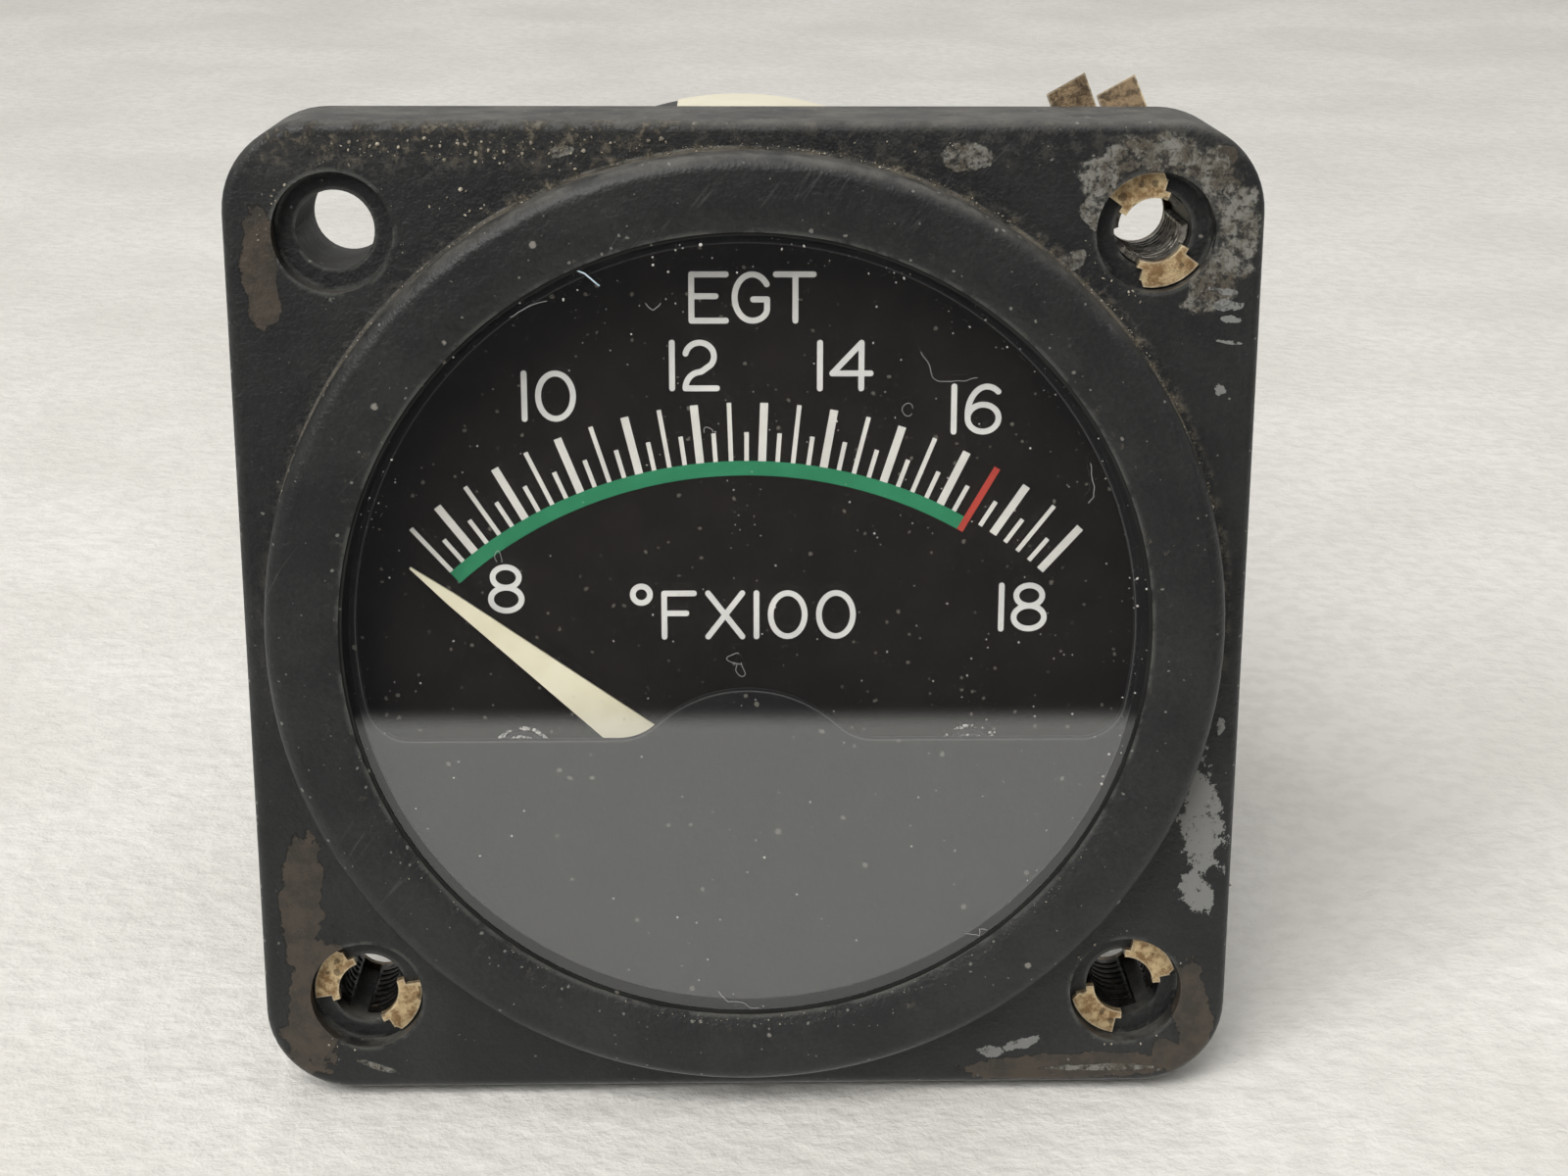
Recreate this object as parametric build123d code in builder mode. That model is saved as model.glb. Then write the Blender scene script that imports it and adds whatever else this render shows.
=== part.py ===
from build123d import *
import math
import os

# Exhaust gas temperature gauge, 2-1/4 inch panel size, in millimetres.
# The face looks along -Y and +Z is up. The origin is the centre of the flange's front face,
# and depth is measured along +Y, into the instrument.

# Case radius, from which the flange, the ring and the stack of discs take theirs
case_r = 25.4

# Square flange
flange_margin = 1.55
flange_thickness = 9.5
flange_corner_r = 5.3
flange_edge_r = 0.6
hole_web = 1.576
hole_r = 2.3
counterbore_r = 3.5
counterbore_depth = 1.4

# Raised ring and the bore behind it
bore_step = 0.2
ring_wall = 3.4
ring_height = 2.8
ring_edge_r = 0.9
band_width = 2.4
lip_width = 1.0
lip_drop = 0.35
lip_thickness = 0.5
stack_clearance = 0.1

# Stack of discs and rings in the bore, from the front
seal_thickness = 0.12
seal_overhang = 0.2
glass_thickness = 1.6
gasket_thickness = 0.38
gasket_width = 1.4
mask_thickness = 0.6
mask_gap = 2.6
spacer_width = 0.6
dial_thickness = 0.8
pad_height = 0.8
chassis_thickness = 1.4
clamp_ring_width = 0.8

# Movement axis and the pointer's travel, clockwise from straight up as seen from the front
yoke_room = 0.8
rest_angle = -51.1
pointer_travel = 102.2

# Mask window
window_margin = 0.85
mask_edge_height = 6.05
hump_r = 7.9
hump_drop = 1.3
window_corner_r = 2.6
hump_fillet_r = 3.2

# Scale, in hundreds of degrees
scale_centre_drop = 4.2
scale_inner_r = 26.85
long_mark_length = 3.55
short_mark_length = 1.75
wide_mark_width = 0.48
narrow_mark_width = 0.27
arc_width = 0.88
red_width = 0.4
paint_thickness = 0.05
degrees_per_hundred = 7.94
scale_middle = 12.74
scale_start = 7.5
scale_end = 18.0
green_end = 16.5
mark_step = 0.25

# Dial screws and pointer stops
dial_screw_x = 13.8
dial_screw_height = 4.0
dial_screw_r = 0.7
dial_screw_head_r = 1.65
dial_screw_head_height = 0.8
screw_clearance = 0.05
pad_r = 2.2
slot_width = 0.4
slot_depth = 0.3
stop_circle_r = 8.0
stop_r = 0.45
stop_gap = 0.15
stop_height = 1.5

# Pointer
pointer_length = 26.0
pointer_thickness = 0.2
pointer_height = 0.8
pointer_tip_width = 0.1
pointer_neck_width = 0.78
pointer_neck_length = 3.2
pointer_base_width = 2.8
pointer_base_r = 7.8
pointer_step_r = 7.0
pointer_foot_r = 5.0
pointer_arm_width = 1.6
pointer_hub_r = 1.7
tail_length = 7.0
side_arm_length = 5.6
balance_arm_width = 0.6
weight_r = 0.75
weight_length = 1.8
weight_clearance = 0.02

# Coil, magnet and yoke
coil_gap = 0.45
former_thickness = 0.3
former_width = 5.0
former_inner_half = 7.15
winding_thickness = 0.55
winding_width = 4.4
core_r = 6.4
core_length = 9.4
core_end_gap = 0.7
yoke_inner_r = 8.6
yoke_outer_r = 11.0
yoke_length = 10.4
clamp_width = 3.0
clamp_length = 5.0
glue_gap = 0.05

# Pivots, jewels and hairsprings
staff_r = 0.6
collet_r = 0.9
tip_r = 0.25
tip_length = 0.4
jewel_clearance = 0.06
jewel_depth = 0.45
jewel_screw_r = 1.15
jewel_screw_out = 0.6
jewel_screw_in = 0.4
pivot_base_thickness = 0.3
pivot_base_r = 1.5
end_play = 0.1
hub_r = 1.2
fit_clearance = 0.02
spring_width = 0.3
spring_strip = 0.1
spring_turns = 3.5
spring_outer_r = 3.65
spring_seat = 0.05
regulator_thickness = 0.3
regulator_ring_r = 2.0
regulator_arm_width = 1.0
regulator_stud_r = 0.3

# Bridges and the two long screws that hold the movement together
bridge_half_width = 1.6
bridge_thickness = 1.0
bridge_screw_x = 9.8
bridge_leg_r = 1.15
front_bridge_gap = 0.9
rear_bridge_stand = 3.9
long_screw_r = 0.65
long_screw_head_r = 1.2
long_screw_head_height = 0.7
leg_room = 0.5

# Calibrating resistor
spool_z = 8.5
spool_flange_r = 6.0
spool_core_r = 3.5
spool_length = 12.0
spool_flange_thickness = 1.0
resistor_winding_r = 5.5
spool_screw_r = 1.2
spool_screw_head_r = 2.4
spool_screw_head_height = 1.2

# Case
case_wall = 0.8
case_lip_width = 2.8
case_rear = 69.0
case_rear_r = 2.0
case_screw_step = 1.45
case_screw_r = 0.7
case_screw_head_r = 1.3
case_screw_head_height = 1.0
case_screw_depth = 5.0
case_screw_count = 4

# Label on the case
label_thickness = 0.15
label_front = 17.0
label_rear_margin = 0.5
label_left_angle = -11.0
label_right_angle = 96.0

# Terminals
terminal_spacing = 19.05
terminal_z = 0.0
alumel_r = 2.4
chromel_r = 2.08
stud_clearance = 0.1
stud_head_r = 4.0
stud_head_height = 1.6
bush_r = 4.8
bush_flange_thickness = 1.6
bush_neck_r = 3.4
bush_neck_clearance = 0.1
washer_r = 4.4
washer_thickness = 0.8
nut_across_flats = 8.7
nut_thickness = 3.2
stud_beyond_nut = 7.0

# Leads inside the case
lead_r = 0.45
lead_bend_r = 2.5
lead_turn_y = 40.0
lead_side_room = 3.6
tail_bend_r = 1.2
tail_side_room = 1.4

# Clip nuts. Each corner has its sides, the tail's direction counter-clockwise from +X as seen from the
# front, and for the two ears the bend to the rear and the splay in the ear's own plane.
clip_thickness = 0.4
clip_width = 5.5
clip_tail = 5.2
clip_short_end = 4.3
clip_notch = 0.3
short_ear_length = 2.65
long_ear_length = 3.5
clip_ear_skew = 0.45
clip_bore_r = 1.87
clip_barrel_clearance = 0.08
clip_rim_drop = 1.6
clip_split = 1.2
clip_lip_r = 3.35
clip_lip_half_angle = 34.0
clip_tab_r = 2.35
clip_tab_half_angle = 43.0
clip_tear = 0.55
clip_corners = (
    (1, 1, 110.0, ((34.0, 0.0), (14.0, 0.0))),
    (-1, -1, -25.0, ((24.0, 0.0), (14.0, 0.0))),
    (1, -1, 46.0, ((5.0, -20.0), (20.0, 4.0))),
)

# Radii and places worked out from the sizes above
case_inner_r = case_r - case_wall
case_lip_r = case_r + case_lip_width
case_screw_circle_r = case_r + case_screw_step
bore_r = case_r - bore_step
stack_r = bore_r - stack_clearance
lip_r = bore_r - lip_width
window_r = lip_r - window_margin
ring_r = bore_r + ring_wall
band_inner_r = ring_r - band_width
flange_width = 2 * (ring_r + flange_margin)
hole_spacing = math.sqrt(2) * (ring_r + hole_web + counterbore_r)
pivot_z = yoke_outer_r + yoke_room - case_inner_r
mask_edge_z = pivot_z + mask_edge_height
dial_screw_z = pivot_z + dial_screw_height
scale_centre_z = pivot_z - scale_centre_drop

# Depths worked out from the sizes above
ring_front = -ring_height
lip_front = ring_front + lip_drop
lip_rear = ring_front + lip_thickness
glass_front = lip_rear + seal_thickness
gasket_front = glass_front + glass_thickness
mask_front = gasket_front + gasket_thickness
mask_rear = mask_front + mask_thickness
dial_front = mask_rear + mask_gap
dial_rear = dial_front + dial_thickness
chassis_front = dial_rear + pad_height
chassis_rear = chassis_front + chassis_thickness
case_front = flange_thickness

pointer_front = dial_front - pointer_height - pointer_thickness
pointer_root_front = dial_rear + pointer_thickness / 2
pointer_root_rear = pointer_root_front + pointer_thickness
yoke_rear = chassis_rear + yoke_length
core_front = chassis_rear + core_end_gap - glue_gap
core_rear = core_front + core_length
former_front = core_front - core_end_gap - former_thickness
former_rear = core_rear + core_end_gap + former_thickness
former_outer_half = former_inner_half + former_thickness
winding_front = former_front - winding_thickness
winding_rear = former_rear + winding_thickness
winding_outer_half = former_outer_half + winding_thickness
coil_clear_r = math.hypot(winding_outer_half, former_width / 2) + coil_gap

front_bridge_front = mask_rear + front_bridge_gap
front_bridge_rear = front_bridge_front + bridge_thickness
rear_bridge_front = yoke_rear + rear_bridge_stand
rear_bridge_rear = rear_bridge_front + bridge_thickness
front_jewel_face = front_bridge_rear + jewel_screw_in
rear_jewel_face = rear_bridge_front - jewel_screw_in * 2
front_tip = front_jewel_face - tip_length + end_play
rear_tip = rear_jewel_face + tip_length - end_play
front_base_front = winding_front - pivot_base_thickness
rear_base_rear = winding_rear + pivot_base_thickness
front_spring_front = front_jewel_face + end_play * 2
rear_spring_front = rear_jewel_face - end_play * 2 - spring_width
regulator_stud_circle_r = spring_outer_r + spring_seat + regulator_stud_r

case_inner_rear = case_rear - case_wall
long_screw_hole_r = long_screw_r + screw_clearance
dial_screw_hole_r = dial_screw_r + screw_clearance
jewel_thread_r = jewel_screw_r + screw_clearance
window_opening_r = stop_circle_r - stop_r - screw_clearance * 3


def at_depth(depth):
    """Plane that faces the viewer: local x is +X, local y is +Z, and a negative extrude goes rearwards."""
    return Plane.XZ.offset(-depth)


def at_rear(depth):
    """Plane that faces rearwards: local x is -X, local y is +Z, and holes go towards the front."""
    return Plane((0, depth, 0), x_dir=(-1, 0, 0), z_dir=(0, 1, 0))


def about_pivot(depth):
    """Plane that faces the viewer, centred on the movement's axis."""
    return Plane((0, depth, pivot_z), x_dir=(1, 0, 0), z_dir=(0, -1, 0))


rest_cos = math.cos(math.radians(rest_angle))
rest_sin = math.sin(math.radians(rest_angle))


def with_pointer(depth):
    """Plane centred on the movement's axis and turned with the pointer, which lies along local +y."""
    return Plane((0, depth, pivot_z), x_dir=(rest_cos, 0, -rest_sin), z_dir=(0, -1, 0))


def along_pointer():
    """Plane through the axis and the pointer: local x is the distance from the axis, local y is depth."""
    return Plane((0, 0, pivot_z), x_dir=(rest_sin, 0, rest_cos), z_dir=(-rest_cos, 0, rest_sin))


def across_pointer():
    """Plane through the axis and across the pointer, in which the coil lies: local y is depth."""
    return Plane((0, 0, pivot_z), x_dir=(rest_cos, 0, -rest_sin), z_dir=(rest_sin, 0, rest_cos))


def mark_angle(value):
    """Angle of a scale value, clockwise from straight up."""
    return (value - scale_middle) * degrees_per_hundred


# Front housing: square flange, raised ring with its lip, stepped corner holes
with BuildPart() as front_housing:
    with BuildSketch(at_depth(0)):
        RectangleRounded(flange_width, flange_width, flange_corner_r)
    extrude(amount=-flange_thickness)
    flange_faces = front_housing.faces().sort_by(Axis.Y)
    fillet(flange_faces[0].edges() + flange_faces[-1].edges(), flange_edge_r)
    with BuildSketch(Plane.XY):
        with BuildLine():
            Polyline((lip_r, lip_front), (lip_r, lip_rear), (bore_r, lip_rear), (bore_r, 0),
                     (ring_r, 0), (ring_r, ring_front), (band_inner_r, ring_front))
            TangentArc((band_inner_r, ring_front), (lip_r, lip_front), tangent=(-1, 0))
        make_face()
    revolve(axis=Axis.Y)
    front_circles = front_housing.edges().filter_by(GeomType.CIRCLE).group_by(Axis.Y)[0]
    fillet(front_circles.sort_by(SortBy.RADIUS)[-1], ring_edge_r)
    with BuildSketch(at_depth(0)):
        Circle(bore_r)
    extrude(amount=-flange_thickness, mode=Mode.SUBTRACT)
    with Locations(at_depth(0)):
        with GridLocations(hole_spacing, hole_spacing, 2, 2):
            CounterBoreHole(hole_r, counterbore_r, counterbore_depth)
    with Locations(at_rear(flange_thickness)):
        with PolarLocations(case_screw_circle_r, case_screw_count):
            Hole(case_screw_r + screw_clearance, depth=case_screw_depth)
front_housing.part.label = "front_housing"

# Sealing bead between the lip and the glass, which shows as a thin dark line inside the lip
with BuildPart() as glass_seal:
    with BuildSketch(at_depth(lip_rear)):
        Circle(stack_r)
        Circle(lip_r - seal_overhang, mode=Mode.SUBTRACT)
    extrude(amount=-seal_thickness)
glass_seal.part.label = "glass_seal"

# Glass
with BuildPart() as glass:
    with BuildSketch(at_depth(glass_front)):
        Circle(stack_r)
    extrude(amount=-glass_thickness)
glass.part.label = "glass"

# Gasket behind the glass
with BuildPart() as glass_gasket:
    with BuildSketch(at_depth(gasket_front)):
        Circle(stack_r)
        Circle(stack_r - gasket_width, mode=Mode.SUBTRACT)
    extrude(amount=-gasket_thickness)
glass_gasket.part.label = "glass_gasket"

# Mask: a disc with a D-shaped window, whose straight edge humps over the pivot
with BuildPart() as dial_mask:
    with BuildSketch(at_depth(mask_front)):
        Circle(stack_r)
    extrude(amount=-mask_thickness)
    with BuildSketch(at_depth(mask_front)) as window:
        Circle(window_r)
        with Locations((0, mask_edge_z - window_r)):
            Rectangle(2 * window_r, 2 * window_r, mode=Mode.SUBTRACT)
        with Locations((0, pivot_z + hump_drop)):
            Circle(hump_r, mode=Mode.SUBTRACT)
        window_corners = window.vertices().group_by(Axis.Y)[0].sort_by(Axis.X)
        fillet([window_corners[0], window_corners[-1]], window_corner_r)
        hump_corners = window.vertices().group_by(SortBy.DISTANCE)[0]
        fillet(hump_corners, hump_fillet_r)
    extrude(amount=-mask_thickness, mode=Mode.SUBTRACT)
dial_mask.part.label = "dial_mask"

# Spacer ring between mask and dial
with BuildPart() as mask_spacer:
    with BuildSketch(at_depth(mask_rear)):
        Circle(stack_r)
        Circle(stack_r - spacer_width, mode=Mode.SUBTRACT)
    extrude(amount=-mask_gap)
mask_spacer.part.label = "mask_spacer"

# Places of the two pointer stops, just past the pointer's edges at the ends of its travel
stop_reach = pointer_base_width / 2 + stop_gap + stop_r
stop_angle = pointer_travel / 2 + math.degrees(math.asin(stop_reach / stop_circle_r))
stop_x = stop_circle_r * math.sin(math.radians(stop_angle))
stop_z = pivot_z + stop_circle_r * math.cos(math.radians(stop_angle))

# Dial plate, open around the movement's front bridge
with BuildPart() as dial_plate:
    with BuildSketch(at_depth(dial_front)):
        Circle(stack_r)
        with Locations((0, pivot_z)):
            Circle(window_opening_r, mode=Mode.SUBTRACT)
            SlotCenterToCenter(2 * bridge_screw_x, 2 * (bridge_leg_r + leg_room), mode=Mode.SUBTRACT)
        with Locations((-dial_screw_x, dial_screw_z), (dial_screw_x, dial_screw_z)):
            Circle(dial_screw_hole_r, mode=Mode.SUBTRACT)
        with Locations((-stop_x, stop_z), (stop_x, stop_z)):
            Circle(stop_r, mode=Mode.SUBTRACT)
    extrude(amount=-dial_thickness)
dial_plate.part.label = "dial_plate"

# Scale marks: whole hundreds are wide, half hundreds narrow, quarters short, and the red line takes one place
mark_count = round((scale_end - scale_start) / mark_step)
with BuildPart() as scale_marks:
    with BuildSketch(at_depth(dial_front)):
        for index in range(mark_count + 1):
            value = scale_start + index * mark_step
            if abs(value - green_end) < mark_step / 2:
                continue
            quarters = round(value / mark_step) % 4
            length = long_mark_length if quarters % 2 == 0 else short_mark_length
            width = wide_mark_width if quarters == 0 else narrow_mark_width
            angle = mark_angle(value)
            middle_r = scale_inner_r + length / 2
            mark_x = middle_r * math.sin(math.radians(angle))
            mark_z = scale_centre_z + middle_r * math.cos(math.radians(angle))
            with Locations(Location((mark_x, mark_z, 0), (0, 0, -angle))):
                Rectangle(width, length)
    extrude(amount=paint_thickness)
scale_marks.part.label = "scale_marks"

# Green arc, from the first mark to the red line
red_half_angle = math.degrees(red_width / 2 / scale_inner_r)
green_start_angle = mark_angle(scale_start) - math.degrees(narrow_mark_width / 2 / scale_inner_r)
green_end_angle = mark_angle(green_end) - red_half_angle
with BuildPart() as green_arc:
    with BuildSketch(at_depth(dial_front)):
        with BuildLine():
            outer = CenterArc((0, scale_centre_z), scale_inner_r, 90 - green_start_angle,
                              green_start_angle - green_end_angle)
            inner = CenterArc((0, scale_centre_z), scale_inner_r - arc_width, 90 - green_start_angle,
                              green_start_angle - green_end_angle)
            Line(outer @ 0, inner @ 0)
            Line(outer @ 1, inner @ 1)
        make_face()
    extrude(amount=paint_thickness)
green_arc.part.label = "green_arc"

# Red line
with BuildPart() as red_line:
    red_angle = mark_angle(green_end)
    red_length = long_mark_length + arc_width
    red_middle_r = scale_inner_r - arc_width + red_length / 2
    with BuildSketch(at_depth(dial_front)):
        red_x = red_middle_r * math.sin(math.radians(red_angle))
        red_z = scale_centre_z + red_middle_r * math.cos(math.radians(red_angle))
        with Locations(Location((red_x, red_z, 0), (0, 0, -red_angle))):
            Rectangle(red_width, red_length)
    extrude(amount=paint_thickness)
red_line.part.label = "red_line"

# Dial screws, through dial and pads into the chassis
with BuildPart() as dial_screws:
    with BuildSketch(at_depth(dial_front)):
        with Locations((-dial_screw_x, dial_screw_z), (dial_screw_x, dial_screw_z)):
            Circle(dial_screw_head_r)
    extrude(amount=dial_screw_head_height)
    head_edges = dial_screws.edges().group_by(Axis.Y)[0]
    fillet(head_edges, dial_screw_head_height / 3)
    with BuildSketch(at_depth(dial_front)):
        with Locations((-dial_screw_x, dial_screw_z), (dial_screw_x, dial_screw_z)):
            Circle(dial_screw_r)
    extrude(amount=-(chassis_rear - dial_front))
    with BuildSketch(at_depth(dial_front - dial_screw_head_height)):
        with Locations((-dial_screw_x, dial_screw_z), (dial_screw_x, dial_screw_z)):
            Rectangle(2 * dial_screw_head_r, slot_width, rotation=35)
    extrude(amount=-slot_depth, mode=Mode.SUBTRACT)
dial_screws.part.label = "dial_screws"

# Pointer stops, staked into the dial
with BuildPart() as pointer_stops:
    with BuildSketch(at_depth(dial_front - stop_height)):
        with Locations((-stop_x, stop_z), (stop_x, stop_z)):
            Circle(stop_r)
    extrude(amount=-(stop_height + dial_thickness))
pointer_stops.part.label = "pointer_stops"

# Movement chassis, with pads for the dial and a round opening for the coil
with BuildPart() as movement_chassis:
    with BuildSketch(at_depth(chassis_front)):
        Circle(stack_r)
    extrude(amount=-chassis_thickness)
    with BuildSketch(at_depth(dial_rear)):
        with Locations((-dial_screw_x, dial_screw_z), (dial_screw_x, dial_screw_z)):
            Circle(pad_r)
    extrude(amount=-pad_height)
    with BuildSketch(at_depth(dial_rear)):
        with Locations((0, pivot_z)):
            Circle(coil_clear_r)
            with Locations((-bridge_screw_x, 0), (bridge_screw_x, 0)):
                Circle(long_screw_hole_r)
        with Locations((-dial_screw_x, dial_screw_z), (dial_screw_x, dial_screw_z)):
            Circle(dial_screw_hole_r)
        with Locations((0, spool_z)):
            Circle(spool_screw_r + screw_clearance)
    extrude(amount=-(chassis_rear - dial_rear), mode=Mode.SUBTRACT)
movement_chassis.part.label = "movement_chassis"

# Clamp ring, pressed against the chassis by the case's lip
with BuildPart() as clamp_ring:
    with BuildSketch(at_depth(chassis_rear)):
        Circle(stack_r)
        Circle(stack_r - clamp_ring_width, mode=Mode.SUBTRACT)
    extrude(amount=-(case_front - chassis_rear))
clamp_ring.part.label = "clamp_ring"

# Yoke ring of soft iron
with BuildPart() as yoke_ring:
    with BuildSketch(about_pivot(chassis_rear)):
        Circle(yoke_outer_r)
        Circle(yoke_inner_r, mode=Mode.SUBTRACT)
        with Locations((-bridge_screw_x, 0), (bridge_screw_x, 0)):
            Circle(long_screw_hole_r, mode=Mode.SUBTRACT)
    extrude(amount=-yoke_length)
yoke_ring.part.label = "yoke_ring"

# Core magnet inside the coil
with BuildPart() as core_magnet:
    with BuildSketch(about_pivot(core_front)):
        Circle(core_r)
    extrude(amount=-core_length)
core_magnet.part.label = "core_magnet"

# Two brass clamps between magnet and yoke, in the sectors that the coil never reaches
with BuildPart() as core_clamps:
    with BuildSketch(about_pivot(core_front + (core_length - clamp_length) / 2)):
        Circle(yoke_inner_r - glue_gap)
        Circle(core_r + glue_gap, mode=Mode.SUBTRACT)
        Rectangle(clamp_width, 2 * yoke_inner_r, mode=Mode.INTERSECT)
    extrude(amount=-clamp_length)
core_clamps.part.label = "core_clamps"

# Front bridge: a bar on two legs that stand on the chassis
with BuildPart() as front_bridge:
    with BuildSketch(about_pivot(front_bridge_front)):
        SlotCenterToCenter(2 * bridge_screw_x, 2 * bridge_half_width)
    extrude(amount=-bridge_thickness)
    with BuildSketch(about_pivot(front_bridge_rear)):
        with Locations((-bridge_screw_x, 0), (bridge_screw_x, 0)):
            Circle(bridge_leg_r)
    extrude(amount=-(chassis_front - front_bridge_rear))
    with BuildSketch(about_pivot(front_bridge_front)):
        Circle(jewel_thread_r)
        with Locations((-bridge_screw_x, 0), (bridge_screw_x, 0)):
            Circle(long_screw_hole_r)
    extrude(amount=-(chassis_front - front_bridge_front), mode=Mode.SUBTRACT)
front_bridge.part.label = "front_bridge"

# Rear bridge, on legs that stand on the yoke
with BuildPart() as rear_bridge:
    with BuildSketch(about_pivot(rear_bridge_front)):
        SlotCenterToCenter(2 * bridge_screw_x, 2 * bridge_half_width)
    extrude(amount=-bridge_thickness)
    with BuildSketch(about_pivot(yoke_rear)):
        with Locations((-bridge_screw_x, 0), (bridge_screw_x, 0)):
            Circle(bridge_leg_r)
    extrude(amount=-rear_bridge_stand)
    with BuildSketch(about_pivot(yoke_rear)):
        Circle(jewel_thread_r)
        with Locations((-bridge_screw_x, 0), (bridge_screw_x, 0)):
            Circle(long_screw_hole_r)
    extrude(amount=-(rear_bridge_rear - yoke_rear), mode=Mode.SUBTRACT)
rear_bridge.part.label = "rear_bridge"

# Two long screws through front bridge, chassis, yoke and rear bridge
with BuildPart() as movement_screws:
    with BuildSketch(about_pivot(front_bridge_front)):
        with Locations((-bridge_screw_x, 0), (bridge_screw_x, 0)):
            Circle(long_screw_head_r)
    extrude(amount=long_screw_head_height)
    with BuildSketch(about_pivot(front_bridge_front - long_screw_head_height)):
        with Locations((-bridge_screw_x, 0), (bridge_screw_x, 0)):
            Rectangle(2 * long_screw_head_r, slot_width, rotation=20)
    extrude(amount=-slot_depth, mode=Mode.SUBTRACT)
    with BuildSketch(about_pivot(front_bridge_front)):
        with Locations((-bridge_screw_x, 0), (bridge_screw_x, 0)):
            Circle(long_screw_r)
    extrude(amount=-(rear_bridge_rear - front_bridge_front))
movement_screws.part.label = "movement_screws"


def jewel_screw_outline(inner_face, outer_face):
    """Half outline of a slotted jewel screw: its cup opens at the inner face."""
    inward = math.copysign(1, inner_face - outer_face)
    cup = inner_face - inward * jewel_depth
    cup_r = tip_r + jewel_clearance
    Polyline((0, cup), (cup_r, cup), (cup_r, inner_face), (jewel_screw_r, inner_face),
             (jewel_screw_r, outer_face), (0, outer_face), close=True)


# Front jewel screw
with BuildPart() as front_jewel_screw:
    with BuildSketch(Plane.XY.offset(pivot_z)):
        with BuildLine():
            jewel_screw_outline(front_jewel_face, front_bridge_front - jewel_screw_out / 2)
        make_face()
    revolve(axis=Axis((0, 0, pivot_z), (0, 1, 0)))
    with BuildSketch(about_pivot(front_bridge_front - jewel_screw_out / 2)):
        Rectangle(2 * jewel_screw_r, slot_width)
    extrude(amount=-slot_depth, mode=Mode.SUBTRACT)
front_jewel_screw.part.label = "front_jewel_screw"

# Rear jewel screw
with BuildPart() as rear_jewel_screw:
    with BuildSketch(Plane.XY.offset(pivot_z)):
        with BuildLine():
            jewel_screw_outline(rear_jewel_face, rear_bridge_rear + jewel_screw_out)
        make_face()
    revolve(axis=Axis((0, 0, pivot_z), (0, 1, 0)))
    with BuildSketch(about_pivot(rear_bridge_rear + jewel_screw_out)):
        Rectangle(2 * jewel_screw_r, slot_width)
    extrude(amount=slot_depth, mode=Mode.SUBTRACT)
rear_jewel_screw.part.label = "rear_jewel_screw"


def regulator_outline():
    """Ring around a jewel screw with an arm that reaches the hairspring's outer end."""
    Circle(regulator_ring_r)
    with Locations((0, -regulator_stud_circle_r / 2)):
        Rectangle(regulator_arm_width, regulator_stud_circle_r)
    with Locations((0, -regulator_stud_circle_r)):
        Circle(regulator_arm_width / 2)
    Circle(jewel_thread_r, mode=Mode.SUBTRACT)


# Front spring arm, under the front bridge
with BuildPart() as front_regulator:
    with BuildSketch(about_pivot(front_bridge_rear)):
        regulator_outline()
    extrude(amount=-regulator_thickness)
    with BuildSketch(about_pivot(front_bridge_rear)):
        with Locations((0, -regulator_stud_circle_r)):
            Circle(regulator_stud_r)
    extrude(amount=-(front_spring_front + spring_width - front_bridge_rear))
front_regulator.part.label = "front_regulator"

# Rear spring arm, in front of the rear bridge
with BuildPart() as rear_regulator:
    with BuildSketch(about_pivot(rear_bridge_front)):
        regulator_outline()
    extrude(amount=regulator_thickness)
    with BuildSketch(about_pivot(rear_bridge_front)):
        with Locations((0, -regulator_stud_circle_r)):
            Circle(regulator_stud_r)
    extrude(amount=rear_bridge_front - rear_spring_front)
rear_regulator.part.label = "rear_regulator"


def hairspring_outline(turn_direction):
    """Closed outline of a flat spiral strip from the collet to the spring arm's stud."""
    inner_r = collet_r + spring_seat + spring_strip / 2
    outer_r = spring_outer_r - spring_strip / 2
    steps = round(spring_turns * 12)
    sides = []
    for side in (-1, 1):
        side_points = []
        for step in range(steps + 1):
            share = step / steps
            turn = math.radians(-90 - turn_direction * 360 * spring_turns * (1 - share))
            r = inner_r + (outer_r - inner_r) * share + side * spring_strip / 2
            side_points.append((r * math.cos(turn), r * math.sin(turn)))
        sides.append(Spline(*side_points))
    Line(sides[0] @ 0, sides[1] @ 0)
    Line(sides[0] @ 1, sides[1] @ 1)


# Front hairspring
with BuildPart() as front_hairspring:
    with BuildSketch(about_pivot(front_spring_front)):
        with BuildLine():
            hairspring_outline(1)
        make_face()
    extrude(amount=-spring_width)
front_hairspring.part.label = "front_hairspring"

# Rear hairspring, wound the other way
with BuildPart() as rear_hairspring:
    with BuildSketch(about_pivot(rear_spring_front)):
        with BuildLine():
            hairspring_outline(-1)
        make_face()
    extrude(amount=-spring_width)
rear_hairspring.part.label = "rear_hairspring"

# Calibrating resistor: spool, winding and the screw that holds it to the chassis
spool_axis = Axis((0, 0, spool_z), (0, 1, 0))
spool_rear = chassis_rear + spool_length
with BuildPart() as resistor_spool:
    with BuildSketch(Plane.XY.offset(spool_z)):
        with BuildLine():
            Polyline((spool_screw_r + screw_clearance, chassis_rear), (spool_flange_r, chassis_rear),
                     (spool_flange_r, chassis_rear + spool_flange_thickness),
                     (spool_core_r, chassis_rear + spool_flange_thickness),
                     (spool_core_r, spool_rear - spool_flange_thickness),
                     (spool_flange_r, spool_rear - spool_flange_thickness),
                     (spool_flange_r, spool_rear), (spool_screw_r + screw_clearance, spool_rear), close=True)
        make_face()
    revolve(axis=spool_axis)
resistor_spool.part.label = "resistor_spool"

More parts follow.
